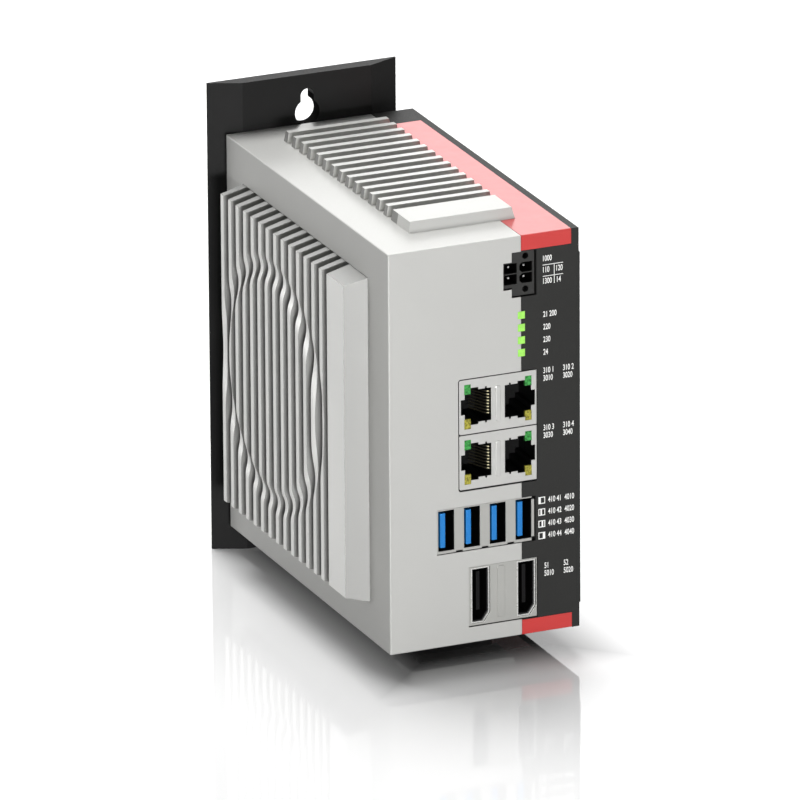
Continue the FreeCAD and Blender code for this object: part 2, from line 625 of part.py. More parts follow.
def side_panel():
    panel = block(PANEL_LEFT, W, 0, D, PANEL_MARGIN, H - PANEL_MARGIN)
    panel = round_edges(panel, PANEL_THICKNESS * 0.25, lambda box: box.XMin > W - 0.01)
    cuts = []
    screws = []
    for y, z in panel_screw_places():
        cone = Part.makeCone(CASE_SCREW_RADIUS + SCREW_CLEARANCE, CASE_SCREW_HEAD_RADIUS + SCREW_CLEARANCE,
                             PANEL_THICKNESS, Vector(PANEL_LEFT, y, z), Vector(1, 0, 0))
        cuts.append(cone)
        head = Part.makeCone(CASE_SCREW_RADIUS, CASE_SCREW_HEAD_RADIUS, PANEL_THICKNESS,
                             Vector(PANEL_LEFT, y, z), Vector(1, 0, 0))
        shank = rod("x", COVER_INSIDE, y, z, CASE_SCREW_RADIUS, COVER_RIGHT_WALL)
        across = CASE_SCREW_HEAD_RADIUS * 0.45
        angles = [math.radians(60 * k) for k in range(6)]
        hexagon = [(y + across * math.cos(a), z + across * math.sin(a)) for a in angles]
        screws.append(fuse([head, shank]).cut(prism("x", hexagon, W - PANEL_THICKNESS * 0.8, 2)))
    save("side_panel", panel.cut(cuts))
    save("panel_screws", *screws)


def inlays():
    for name, sign in (("top_inlay", 1), ("bottom_inlay", -1)):
        cutter = inlay(sign, -INLAY_CLEARANCE)
        outer = round_edges(cutter, EDGE_RADIUS, lambda box: box.XLength > 10 and box.YMax < 0.01 and
                            (box.ZMin > H - 0.01 or box.ZMax < 0.01))
        save(name, outer)


def case_screws():
    screws = []
    head_seat = PANEL_LEFT - CASE_SCREW_HEAD - 0.1
    for y in RAIL_YS:
        for z in RAIL_ZS:
            length = head_seat - BOARD_LEFT + CASE_SCREW_GRIP
            screws.append(pan_screw("x", head_seat, y, z, CASE_SCREW_HEAD_RADIUS, CASE_SCREW_HEAD,
                                    CASE_SCREW_RADIUS, length, -1))
    save("case_screws", *screws)


# Mounting plate

def mounting_plate():
    left = -PLATE_LEFT_OVERHANG
    right = left + PLATE_WIDTH
    low = -PLATE_BELOW
    edge = PLATE_REAR - PLATE_EDGE
    outline = [(left, PLATE_REAR), (left, edge), (left + PLATE_BEVEL, PLATE_FRONT),
               (right - PLATE_BEVEL, PLATE_FRONT), (right, edge), (right, PLATE_REAR)]
    plate = prism("z", outline, low, PLATE_HEIGHT)
    x = PLATE_MID_X
    round_z = H + KEYHOLE_ABOVE_HOUSING
    end_z = round_z + KEYHOLE_TRAVEL
    deep = PLATE_THICKNESS + 2
    start = PLATE_FRONT - 1
    cuts = [rod("y", x, start, round_z, KEYHOLE_RADIUS, deep),
            rod("y", x, start, end_z, KEYHOLE_SLOT_RADIUS, deep),
            block(x - KEYHOLE_SLOT_RADIUS, x + KEYHOLE_SLOT_RADIUS, start, start + deep, round_z, end_z)]
    foot = low + FOOT_SLOT_DEPTH
    cuts.append(rod("y", x, start, foot, KEYHOLE_SLOT_RADIUS, deep))
    cuts.append(block(x - KEYHOLE_SLOT_RADIUS, x + KEYHOLE_SLOT_RADIUS, start, start + deep, low - 1, foot))
    sink = PLATE_SCREW_HEAD_RADIUS - PLATE_SCREW_RADIUS
    hole = PLATE_SCREW_RADIUS + SCREW_CLEARANCE
    for sx in PLATE_SCREW_XS:
        for sz in PLATE_SCREW_ZS:
            cuts.append(rod("y", sx, start, sz, hole, deep))
            seat = Vector(sx, PLATE_REAR - sink, sz)
            cuts.append(Part.makeCone(hole, hole + sink, sink, seat, Vector(0, 1, 0)))
    save("mounting_plate", plate.cut(cuts))


def plate_screws():
    """Countersunk screws from the plate's rear into the housing's rear wall."""
    screws = []
    sink = PLATE_SCREW_HEAD_RADIUS - PLATE_SCREW_RADIUS
    length = PLATE_THICKNESS - sink + REAR_WALL
    for x in PLATE_SCREW_XS:
        for z in PLATE_SCREW_ZS:
            head = Part.makeCone(PLATE_SCREW_RADIUS, PLATE_SCREW_HEAD_RADIUS, sink,
                                 Vector(x, PLATE_REAR - sink, z), Vector(0, 1, 0))
            shank = rod("y", x, PLATE_REAR - sink - length, z, PLATE_SCREW_RADIUS, length)
            across = PLATE_SCREW_HEAD_RADIUS * 0.45
            angles = [math.radians(60 * k) for k in range(6)]
            hexagon = [(x + across * math.cos(a), z + across * math.sin(a)) for a in angles]
            screws.append(fuse([head, shank]).cut(prism("y", hexagon, PLATE_REAR - sink, 3)))
    save("plate_screws", *screws)


# Mainboard

def spreader_left():
    return BOARD_LEFT - PROCESSOR_HEIGHT - DIE_HEIGHT - SPREADER_THICKNESS


def mainboard():
    c = BOARD_CLEARANCE
    board = block(BOARD_LEFT, BOARD_RIGHT, FRONT_WALL + c, RAIL_YS[1] + RAIL_WIDTH / 2 + 1.5,
                  FLOOR_WALL + c, H - FLOOR_WALL - c)
    holes = []
    radius = CASE_SCREW_RADIUS + SCREW_CLEARANCE
    for y in RAIL_YS:
        for z in RAIL_ZS:
            holes.append(rod("x", BOARD_LEFT - 1, y, z, radius, BOARD_THICKNESS + 2))
    save("mainboard", board.cut(holes))


def processor():
    half = PROCESSOR_SIZE / 2
    die = DIE_SIZE / 2
    y, z = PROCESSOR_Y, PROCESSOR_Z
    carrier = block(BOARD_LEFT - PROCESSOR_HEIGHT, BOARD_LEFT, y - half, y + half, z - half, z + half)
    chip = block(BOARD_LEFT - PROCESSOR_HEIGHT - DIE_HEIGHT, BOARD_LEFT - PROCESSOR_HEIGHT,
                 y - die, y + die, z - die, z + die)
    save("processor", fuse([carrier, chip]))
    half = SPREADER_SIZE / 2
    left = spreader_left()
    spreader = block(left, left + SPREADER_THICKNESS, y - half, y + half, z - half, z + half)
    save("heat_spreader", round_edges(spreader, 1.5, lambda box: box.XLength > 1.0))
    half -= 2.0
    save("thermal_pad", block(left - PAD_THICKNESS, left, y - half, y + half, z - half, z + half))


def board_parts():
    """Power stage on the left face of the board: chokes in a row and capacitor cans above them."""
    chokes = []
    choke = 6.8
    for k in range(4):
        z = PROCESSOR_Z - 16.5 + k * 11.0
        y = PROCESSOR_Y + 24.0
        body = block(BOARD_LEFT - 4.0, BOARD_LEFT, y - choke / 2, y + choke / 2, z - choke / 2, z + choke / 2)
        chokes.append(round_edges(body, 1.0, lambda box: box.XLength > 1.0))
    save("power_chokes", *chokes)
    cans = []
    for k in range(5):
        y = PROCESSOR_Y - 20.0 + k * 10.5
        z = H - CAPACITORS_FROM_TOP
        base = block(BOARD_LEFT - 1.2, BOARD_LEFT, y - 3.3, y + 3.3, z - 3.3, z + 3.3)
        can = rod("x", BOARD_LEFT - 7.7, y, z, 3.15, 6.5)
        cans.append(fuse([base, can]))
    save("capacitors", *cans)


def memory():
    """Memory module parallel to the board, held by its socket's slot and two side arms."""
    low = MEMORY_LOW
    high = MEMORY_HIGH
    length = high - low
    front = PROCESSOR_Y - 40.0
    x0 = BOARD_RIGHT + 3.2
    x1 = x0 + MEMORY_THICKNESS
    tall = BOARD_RIGHT + 5.4
    end = 1.6
    gap = 0.1
    body = block(BOARD_RIGHT, tall, front, front + 6.5, low - end, high + end)
    arms = [block(BOARD_RIGHT, tall, front + 6.0, front + 24.0, low - end, low - gap),
            block(BOARD_RIGHT, tall, front + 6.0, front + 24.0, high + gap, high + end)]
    slot = block(x0 - gap / 2, x1 + gap / 2, front + 2.5, front + 7, low - gap, high + gap)
    save("memory_socket", fuse([body] + arms).cut(slot))
    card = block(x0, x1, front + 2.5, front + 2.5 + MEMORY_WIDTH, low, high)
    chips = []
    for k in range(4):
        z = low + length * (0.145 + 0.2367 * k)
        chips.append(block(x1, x1 + 1.0, front + 12.0, front + 24.0, z - 4.5, z + 4.5))
    save("memory_module", card)
    save("memory_chips", *chips)


def drive():
    """Solid state drive card in its edge socket, with the screw and post at its far end."""
    end = D - DRIVE_FROM_REAR
    front = end - DRIVE_LENGTH - 4.0
    mid_z = H - DRIVE_FROM_TOP
    x0 = BOARD_RIGHT + 2.4
    t = 0.8
    socket = block(BOARD_RIGHT, BOARD_RIGHT + 4.2, front, front + 8.0, mid_z - 10.9, mid_z + 10.9)
    slot = block(x0 - 0.05, x0 + t + 0.05, front + 4.0, front + 9.0, mid_z - 10.0 - 0.1, mid_z + 10.0 + 0.1)
    save("drive_socket", socket.cut(slot))
    card = fuse([block(x0, x0 + t, front + 4.0, front + 10.0, mid_z - 10.0, mid_z + 10.0),
                 block(x0, x0 + t, front + 8.3, end, mid_z - 11.0, mid_z + 11.0)])
    hole = rod("x", x0 - 1, end, mid_z, 1.75, t + 2)
    save("solid_state_drive", card.cut(hole))
    chips = []
    for start in (end - DRIVE_LENGTH * 0.73, end - DRIVE_LENGTH * 0.4):
        chips.append(block(x0 + t, x0 + t + 1.1, start, start + DRIVE_LENGTH * 0.27,
                           mid_z - 7.0, mid_z + 7.0))
    save("drive_chips", *chips)
    post = rod("x", BOARD_RIGHT, end, mid_z, 2.75, x0 - BOARD_RIGHT)
    bore = rod("x", BOARD_RIGHT + 0.4, end, mid_z, 1.05, 4)
    save("drive_post", post.cut(bore))
    save("drive_screw", pan_screw("x", x0 + t, end, mid_z, 2.7, 0.9, 1.0, x0 + t - BOARD_RIGHT - 0.6, -1))


def clock_cell():
    """Coin cell lying in a round holder on the board."""
    y = D - CELL_FROM_REAR
    z = FLOOR_WALL + CELL_ABOVE_FLOOR
    holder = rod("x", BOARD_RIGHT, y, z, CELL_RADIUS + 1.6, 4.2)
    pocket = rod("x", BOARD_RIGHT + 1.0, y, z, CELL_RADIUS + 0.1, 5)
    relief = block(BOARD_RIGHT + 1.0, BOARD_RIGHT + 5, y - 4, y + 4, z, z + 14)
    save("coin_cell_holder", holder.cut([pocket, relief]))
    cell = rod("x", BOARD_RIGHT + 1.0, y, z, CELL_RADIUS, 3.2)
    save("coin_cell", cell.makeChamfer(0.3, [cell.Edges[0]]))


# LAN sockets: two stacked double modules

def lan_port(divider_x, mid_z, side, start, length):
    """Stepped mouth of one port: u runs from the divider towards the latch, v up and down."""
    upper = [(0.0, 5.35), (1.45, 5.35), (1.45, 5.95), (2.1, 5.95), (2.1, 5.35), (4.35, 5.35), (4.35, 6.1),
             (6.9, 6.1), (6.9, 4.1), (9.0, 4.1), (9.0, 2.5), (10.3, 2.5)]
    outline = upper + [(u, -v) for u, v in reversed(upper)]
    points = [(divider_x + side * u, mid_z + v) for u, v in outline]
    return prism("y", points, start, length)


def lan_lamp(divider_x, mid_z, side, up, grow, start, length):
    """Lamp window in a corner of a port."""
    near = divider_x + side * (6.9 - grow)
    far = divider_x + side * (9.15 + grow)
    low = mid_z + up * (4.1 - grow)
    high = mid_z + up * (7.35 + grow)
    return block(min(near, far), max(near, far), start, start + length, min(low, high), max(low, high))


def lan_ports(bottom):
    """Divider edge, middle height and side of the two ports of a module."""
    middle_z = bottom + LAN_HEIGHT / 2
    return [(LAN_MIDDLE - LAN_DIVIDER_HALF, middle_z, -1), (LAN_MIDDLE + LAN_DIVIDER_HALF, middle_z, 1)]


def lan_modules():
    s = METAL_SHEET
    left = LAN_LEFT
    front = LAN_RECESS
    green = []
    yellow = []
    for name, bottom in zip(("lower", "upper"), lan_bottoms()):
        top = bottom + LAN_HEIGHT
        can = block(left, BOARD_LEFT, front, LAN_DEPTH, bottom, top)
        can = round_edges(can, 0.6, lambda box: box.YLength > 5 and box.XMax < left + 0.01)
        can = can.cut(block(left + s, BOARD_LEFT + 1, front + s, LAN_DEPTH - s, bottom + s, top - s))
        body = block(left + s, BOARD_LEFT, front + s, LAN_DEPTH - s, bottom + s, top - s)
        can_cuts = []
        body_cuts = []
        contacts = []
        for divider, mid_z, side in lan_ports(bottom):
            can_cuts.append(lan_port(divider, mid_z, side, -1, 2))
            body_cuts.append(lan_port(divider, mid_z, side, 0, LAN_PORT_DEPTH))
            for up, group in ((1, green), (-1, yellow)):
                can_cuts.append(lan_lamp(divider, mid_z, side, up, 0.0, -1, 2))
                body_cuts.append(lan_lamp(divider, mid_z, side, up, 0.0, 0, front + 0.1 + LAN_LAMP_DEPTH))
                group.append(lan_lamp(divider, mid_z, side, up, -0.03, front + 0.1, LAN_LAMP_DEPTH))
            for k in range(LAN_CONTACTS):
                z = mid_z + (k - (LAN_CONTACTS - 1) / 2) * LAN_CONTACT_PITCH
                contacts.append(lan_contact(divider, side, z))
        rib = block(LAN_MIDDLE - 0.85, LAN_MIDDLE + 0.85, 0.0, front + 0.02, bottom + 2.8, top - 3.2)
        rib = round_edges(rib, 0.8, lambda box: box.YLength > 0.2)
        rib = round_edges(rib, 0.2, lambda box: box.YMax < 0.01)
        save("lan_shield_" + name, fuse([can.cut(can_cuts), rib]))
        save("lan_insert_" + name, body.cut(body_cuts))
        save("lan_contacts_" + name, *contacts)
    save("lan_lamps_green", *green)
    save("lan_lamps_yellow", *yellow)


def lan_contact(divider, side, z):
    """Spring wire: it leaves the divider wall near the mouth and slants back into the port."""
    half = LAN_CONTACT_WIDTH / 2
    path = [(0.05, 2.0), (0.05, 2.5), (0.9, 3.1), (3.6, 9.6),
            (3.9, 9.45), (1.15, 2.85), (0.4, 2.2), (0.4, 2.0)]
    points = [(divider + side * u, y) for u, y in path]
    return prism("z", points, z - half, 2 * half)


# USB sockets: four upright mouths in one shield

def usb_mouths():
    """Left edges of the four mouths."""
    return [USB_LEFT + METAL_SHEET + k * USB_PITCH for k in range(4)]


def usb_block():
    s = METAL_SHEET
    right = USB_RIGHT
    left = USB_LEFT
    low = USB_BOTTOM
    top = low + USB_HEIGHT
    mouth_low = low + USB_SILL
    mouth_top = mouth_low + USB_MOUTH_HEIGHT
    can = block(left, right, 0.15, USB_DEPTH, low, top)
    can = can.cut(block(left + s, right - s, 0.15 + s, USB_DEPTH + 1, low + s, top - s))
    insert = block(left + s, right - s, 0.15 + s, USB_DEPTH, low + s, top - s)
    can_cuts = []
    insert_cuts = []
    tongues = []
    contacts = []
    for x in usb_mouths():
        can_cuts.append(block(x, x + USB_MOUTH_WIDTH, -1, 2, mouth_low, mouth_top))
        insert_cuts.append(block(x, x + USB_MOUTH_WIDTH, 0, USB_DEPTH - 4.0, mouth_low, mouth_top))
        gap = (USB_MOUTH_HEIGHT - USB_TONGUE_WIDTH) / 2
        t0 = x + 0.85
        t1 = t0 + USB_TONGUE_THICKNESS
        tongue = block(t0, t1, 0.6, USB_DEPTH - 4.0, mouth_low + gap, mouth_top - gap)
        tongues.append(round_edges(tongue, 0.3, lambda box: box.YMax < 0.61 and box.ZLength > 1))
        for k in range(4):
            z = mouth_low + USB_MOUTH_HEIGHT / 2 + (k - 1.5) * 2.3
            contacts.append(block(t1, t1 + 0.25, 1.4, USB_DEPTH - 4.0, z - 0.5, z + 0.5))
        notch = x + USB_MOUTH_WIDTH + 0.55
        if notch + 2.3 < right:
            can_cuts.append(block(notch, notch + 2.3, 0, 2.5, low - 1, low + USB_SILL * 0.5))
    corner = block(right - 0.9, right + 1, -1, 1.5, low - 1, mouth_low + 0.35)
    can_cuts += [corner, corner.translated(Vector(0, 0, USB_HEIGHT))]
    legs = []
    for y in (USB_DEPTH * 0.35, USB_DEPTH * 0.85):
        for z in (low + USB_HEIGHT * 0.2, low + USB_HEIGHT * 0.8):
            legs.append(block(right - s, BOARD_LEFT, y, y + 1.2, z - 0.6, z + 0.6))
    save("usb_shield", fuse([can.cut(can_cuts)] + legs))
    save("usb_insert", insert.cut(insert_cuts))
    save("usb_tongues", *tongues)
    save("usb_contacts", *contacts)


# Display sockets: two keyed mouths behind one recessed plate

def display_profile(x, z, grow):
    """Mouth with one corner cut off, as a plug key."""
    g = grow
    w = DISPLAY_PORT_WIDTH
    h = DISPLAY_PORT_HEIGHT
    return [(x - g, z - g), (x + w - 1.95 + g / 2, z - g), (x + w + g, z + 2.8 - g / 2),
            (x + w + g, z + h + g), (x - g, z + h + g)]


def display_block():
    can_wall = DISPLAY_CAN_WALL
    shell_wall = DISPLAY_SHELL_WALL
    right = BOARD_LEFT
    left = DISPLAY_LEFT
    low = DISPLAY_BOTTOM
    top = low + DISPLAY_HEIGHT
    port_z = low + (DISPLAY_HEIGHT - DISPLAY_PORT_HEIGHT) / 2 + 0.3
    ports = [left + DISPLAY_PORT_INSET + k * DISPLAY_PORT_PITCH for k in range(2)]
    recess = DISPLAY_RECESS
    can = block(left, right, recess, DISPLAY_DEPTH, low, top)
    can = can.cut(block(left + can_wall, right + 1, recess + can_wall, DISPLAY_DEPTH - can_wall,
                        low + can_wall, top - can_wall))
    bar = block(left + 9.9, left + 12.35, recess - 0.25, recess + 0.1, low + 1.6, top - 0.8)
    bar = round_edges(bar, 0.9, lambda box: box.YLength > 0.3)
    shells = []
    inserts = []
    contacts = []
    can_cuts = []
    for x in ports:
        can_cuts.append(prism("y", display_profile(x, port_z, shell_wall), 0, 3))
        gap = prism("y", display_profile(x, port_z, shell_wall), 0, 3)
        can_cuts.append(gap.translated(Vector(DISPLAY_SHELL_GAP, 0, -DISPLAY_SHELL_GAP / 2)))
        shell = prism("y", display_profile(x, port_z, shell_wall), 0.2, 11.8)
        shells.append(shell.cut(prism("y", display_profile(x, port_z, 0.0), 0, 14)))
        lining = prism("y", display_profile(x, port_z, 0.0), 0.8, 13.0)
        mouth = prism("y", display_profile(x, port_z, -0.35), 0, 11.0)
        tongue = block(x + 1.9, x + 3.1, 1.6, 12.0, port_z + 3.4, port_z + DISPLAY_PORT_HEIGHT - 1.4)
        inserts.append(fuse([lining.cut(mouth), tongue]))
        for k in range(6):
            z = port_z + 4.6 + k * 2.0
            contacts.append(block(x + 3.1, x + 3.3, 2.2, 11.0, z - 0.35, z + 0.35))
    save("display_shield", fuse([can.cut(can_cuts), bar]))
    save("display_shells", *shells)
    save("display_inserts", *inserts)
    save("display_contacts", *contacts)


# Power socket and status lights

def power_socket():
    left, right = POWER_LEFT, POWER_RIGHT
    low, top = POWER_LOW, POWER_TOP
    mid_z = (top + low) / 2
    key_left = POWER_KEY_LEFT
    front = POWER_RECESS
    half_pin = POWER_PIN_WIDTH / 2
    flange = block(left, right, front, POWER_DEPTH, low, top)
    key = block(key_left, left + 1, front, POWER_DEPTH, low + POWER_KEY_LOW, top - POWER_KEY_HIGH)
    foot = block(right - 1, BOARD_LEFT, 4.0, POWER_DEPTH, low + 1, top - 1)
    cuts = []
    pins = []
    nuts = []
    col_x = (key_left + 2.35, key_left + 2.35 + POWER_PITCH_X)
    for column, x in enumerate(col_x):
        for row in (0, 1):
            z = mid_z + 0.2 + (row - 0.5) * POWER_PITCH_Z
            a = 2.2
            b = 1.65
            c = 0.9 if column else 0.01
            outline = [(x - a + c, z - b), (x + a, z - b), (x + a, z + b), (x - a + c, z + b),
                       (x - a, z + b - c), (x - a, z - b + c)]
            cuts.append(prism("y", outline, 0, POWER_CHAMBER_DEPTH))
            pin = block(x - half_pin, x + half_pin, POWER_PIN_START, POWER_CHAMBER_DEPTH,
                        z - half_pin, z + half_pin)
            tip = [edge for edge in pin.Edges if edge.BoundBox.YMax < POWER_PIN_START + 0.01]
            pins.append(pin.makeChamfer(0.12, tip))
    hole_x = right - 2.95
    for z in (top - 1.55, low + 1.95):
        cuts.append(rod("y", hole_x, 0, z, 1.05, 1.3))
        cuts.append(rod("y", hole_x, 1.2, z, 1.35, 5.0))
        nut = rod("y", hole_x, 1.2, z, 1.35, 5.0)
        nuts.append(nut.cut(rod("y", hole_x, 1.0, z, 1.0, 5.0)))
    save("power_socket", fuse([flange, key, foot]).cut(cuts))
    save("power_pins", *pins)
    save("power_nuts", *nuts)


def status_lights():
    """Clear pipes that turn the light of board-mounted lamps round to the front."""
    half = (LED_SIZE - 0.05) / 2
    x = SPLIT_FRONT
    pipes = []
    lamps = []
    for z in led_centres():
        outline = [(x - half, 0.0), (x + half, 0.0), (x + half, 4.0), (BOARD_LEFT - 0.9, 4.0),
                   (BOARD_LEFT - 0.9, 6.2), (x - half + 1.5, 6.2), (x - half, 4.7)]
        pipes.append(prism("z", outline, z - half, 2 * half))
        lamps.append(block(BOARD_LEFT - 0.9, BOARD_LEFT, 4.4, 5.8, z - 0.6, z + 0.6))
    save("light_pipes", *pipes)
    save("status_lamps", *lamps)


# Fan cartridge

def fan_screw_places(side):
    """Screws left of each fan (-1) go on into the housing's floor, those on the right end in the tray."""
    half = FAN_HOLE_PITCH / 2
    return [(FAN_X + side * half, y + end * half) for y in FAN_YS for end in (-1, 1)]


def fan_tray():
    x0 = FAN_X - FAN_SIZE / 2
    x1 = BOARD_LEFT - 0.8
    y0 = FAN_YS[0] - FAN_SIZE / 2
    y1 = FAN_YS[1] + FAN_SIZE / 2
    tray = block(x0, x1, y0, y1, FLOOR_WALL, FAN_FLOOR)
    cuts = []
    for y in FAN_YS:
        cuts.append(rod("z", FAN_X, y, 0, FAN_BORE, 10))
    for x, y in fan_screw_places(-1):
        cuts.append(rod("z", x, y, 0, FAN_SCREW_RADIUS + SCREW_CLEARANCE, 10))
    for x, y in fan_screw_places(1):
        cuts.append(rod("z", x, y, 0, FAN_SCREW_RADIUS + THREAD_CLEARANCE, 10))
    save("fan_tray", tray.cut(cuts))


def fan_frame(y):
    """Square frame with a round bore, a motor plate on three arms and a bearing tube."""
    h = FAN_SIZE / 2
    low = FAN_FLOOR
    frame = block(FAN_X - h, FAN_X + h, y - h, y + h, low, low + FAN_HEIGHT)
    frame = round_edges(frame, 3.0, lambda box: box.ZLength > 5)
    cuts = [rod("z", FAN_X, y, low - 1, FAN_BORE, FAN_HEIGHT + 2)]
    for sx, sy in fan_screw_places(-1) + fan_screw_places(1):
        cuts.append(rod("z", sx, sy, low - 1, FAN_HOLE_RADIUS, FAN_HEIGHT + 2))
    frame = frame.cut(cuts)
    arms = []
    for k in range(3):
        arm = block(FAN_HUB_RADIUS - 2, FAN_BORE + 0.6, -1.0, 1.0, 0, FAN_SPIDER)
        arm.rotate(Vector(0, 0, 0), Vector(0, 0, 1), 120 * k + 30)
        arm.translate(Vector(FAN_X, y, low))
        arms.append(arm)
    disc = rod("z", FAN_X, y, low, FAN_HUB_RADIUS, FAN_SPIDER)
    tube = rod("z", FAN_X, y, low, FAN_BEARING_RADIUS, FAN_HEIGHT * 0.68)
    bore = rod("z", FAN_X, y, low + 0.9, FAN_SHAFT_RADIUS + FAN_SHAFT_CLEARANCE, FAN_HEIGHT)
    return fuse([frame, disc, tube] + arms).cut(bore)


def fan_stator(y):
    """Coil ring pressed over the bearing tube."""
    low = FAN_FLOOR + FAN_SPIDER
    outer = FAN_HUB_RADIUS * FAN_STATOR_SHARE
    ring = rod("z", FAN_X, y, low, outer, FAN_HEIGHT * 0.4)
    return ring.cut(rod("z", FAN_X, y, low - 1, FAN_BEARING_RADIUS, FAN_HEIGHT))


def fan_rotor(y):
    """Hub cup with its shaft, and blades that flatten from hub to tip."""
    low = FAN_FLOOR + FAN_SPIDER + FAN_HUB_GAP
    top = FAN_FLOOR + FAN_HEIGHT - 0.4
    hub = rod("z", 0, 0, low, FAN_HUB_RADIUS, top - low)
    cup = rod("z", 0, 0, low - 1, FAN_HUB_RADIUS - FAN_HUB_WALL, top - low - 0.2)
    shaft = rod("z", 0, 0, FAN_FLOOR + 1.2, FAN_SHAFT_RADIUS, top - FAN_FLOOR - 1.7)
    tip = FAN_BORE - FAN_TIP_CLEARANCE
    middle = (low + top) / 2

    def section(radius, chord, angle):
        """Thin rectangle across the radius, tilted by the blade angle."""
        ca, sa = math.cos(math.radians(angle)), math.sin(math.radians(angle))
        corners = []
        for along, across in ((-chord / 2, -0.45), (chord / 2, -0.45), (chord / 2, 0.45), (-chord / 2, 0.45)):
            corners.append(Vector(radius, along * ca - across * sa, middle + along * sa + across * ca))
        return Part.makePolygon(corners + corners[:1])

    blades = []
    span = top - low
    for k in range(FAN_BLADES):
        root = section(FAN_HUB_RADIUS - 0.6, span * 1.15, 40)
        end = section(tip + 2.0, span * 1.75, 24)
        blade = Part.makeLoft([root, end], True, True)
        blade.rotate(Vector(0, 0, 0), Vector(0, 0, 1), 360.0 * k / FAN_BLADES)
        blades.append(blade)
    limit = rod("z", 0, 0, low, tip, span)
    wheel = [blade.common(limit) for blade in blades]
    body = fuse([hub] + wheel).cut(cup)
    rotor = fuse([body, shaft])
    rotor.translate(Vector(FAN_X, y, 0))
    return rotor


def fans():
    for name, y in zip(("front", "rear"), FAN_YS):
        save("fan_frame_" + name, fan_frame(y))
        save("fan_rotor_" + name, fan_rotor(y))
    save("fan_stators", *[fan_stator(y) for y in FAN_YS])
    top = FAN_FLOOR + FAN_HEIGHT
    for name, side, grip in (("fan_screws", 1, 0.0), ("tray_screws", -1, FAN_SCREW_GRIP)):
        length = FAN_HEIGHT + TRAY_THICKNESS + grip
        screws = []
        for x, y in fan_screw_places(side):
            screws.append(pan_screw("z", x, y, top, FAN_SCREW_HEAD_RADIUS, FAN_SCREW_HEAD,
                                    FAN_SCREW_RADIUS, length, -1))
        save(name, *screws)
    edge = BOARD_LEFT - FAN_FROM_BOARD + 0.3
    middle = FIELD_CENTRE
    save("fan_board", block(edge, edge + 0.8, middle - 7, middle + 7, FAN_FLOOR, FAN_FLOOR + FAN_HEIGHT + 3))
    low = FAN_FLOOR + FAN_HEIGHT + 0.2
    socket = block(edge - 1.0, BOARD_LEFT, middle - 9, middle + 9, low, low + 5)
    slot = block(edge - 0.05, edge + 0.85, middle - 7.1, middle + 7.1, low - 1, low + 3.2)
    save("fan_socket", socket.cut(slot))


def main():
    os.makedirs("parts", exist_ok=True)
    main_housing()
    heat_sink()
    heat_sink_screws()
    side_cover()
    side_panel()
    inlays()
    case_screws()
    mounting_plate()
    plate_screws()
    mainboard()
    processor()
    board_parts()
    memory()
    drive()
    clock_cell()
    lan_modules()
    usb_block()
    display_block()
    power_socket()
    status_lights()
    fan_tray()
    fans()


main()
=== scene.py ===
import json
import math

import bpy
import numpy as np
from bpy.props import FloatProperty, FloatVectorProperty, PointerProperty
from mathutils import Matrix, Vector


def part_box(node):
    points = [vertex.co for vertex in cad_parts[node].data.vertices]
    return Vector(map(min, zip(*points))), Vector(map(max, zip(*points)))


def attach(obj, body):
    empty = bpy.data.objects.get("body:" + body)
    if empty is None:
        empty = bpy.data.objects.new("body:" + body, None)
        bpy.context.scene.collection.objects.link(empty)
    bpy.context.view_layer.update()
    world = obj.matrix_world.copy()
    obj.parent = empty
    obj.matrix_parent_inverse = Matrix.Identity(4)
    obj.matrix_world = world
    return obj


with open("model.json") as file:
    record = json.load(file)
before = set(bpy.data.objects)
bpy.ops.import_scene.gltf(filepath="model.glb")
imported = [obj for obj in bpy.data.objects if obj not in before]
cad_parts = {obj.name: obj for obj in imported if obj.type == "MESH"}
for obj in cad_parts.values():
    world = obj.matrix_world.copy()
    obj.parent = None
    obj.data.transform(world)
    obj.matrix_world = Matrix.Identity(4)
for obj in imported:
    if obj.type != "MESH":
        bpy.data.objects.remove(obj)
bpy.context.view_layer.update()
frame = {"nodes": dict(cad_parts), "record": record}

bl_info = {
    "name": "Compact industrial PC",
    "version": (1, 0, 0),
    "blender": (4, 5, 0),
    "location": "3D Viewport > Sidebar > Industrial PC",
    "description": "Finishes, printed marks and studio for a wall-mounted industrial PC",
    "category": "Object",
}

MM = 0.001
BODY = "chassis"
# The housing's lower front left corner, from which the front's places are measured
CORNER = Vector((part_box("main_housing")[0].x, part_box("side_cover")[0].y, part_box("side_cover")[0].z))
FAR_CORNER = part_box("side_cover")[1]
# The top ribs' room, from the casing's corner in millimetres: behind the wide bar and above the top face.
# There the ribs' side-facing ends are painted darker, as painted shade.
RIBS = (0.0, 26.0, 132.1), (66.0, 134.0, 140.0)
# From the edges of the mounting plate to the room of its keyhole, in millimetres: sides, faces, top
KEYHOLE_INSET = 24.0, 0.1, 7.0
PLATE_GLOSS = 0.12
# Share of a unit normal that points left or right, from which a face starts and stops to count as a side face
SIDE_FACE = 0.6, 0.9
# Most of a noise texture's values lie in this range
NOISE_LOW, NOISE_HIGH = 0.3, 0.7
SMOOTHEST = 0.02
# Numeral width of the built-in font, against the numeral height
FONT_WIDTH = 0.55


def srgb(code):
    """Linear colour of an sRGB hex value: c / 12.92 up to 0.04045, and ((c + 0.055) / 1.055) ** 2.4 above."""
    values = [int(code[k:k + 2], 16) / 255 for k in (1, 3, 5)]
    linear = [c / 12.92 if c <= 0.04045 else ((c + 0.055) / 1.055) ** 2.4 for c in values]
    return (*linear, 1.0)


def per(size_mm):
    """Noise scale whose features are about this many millimetres across, on coordinates in metres."""
    return 1.0 / (size_mm * MM)


# Sizes and colours that a user would change

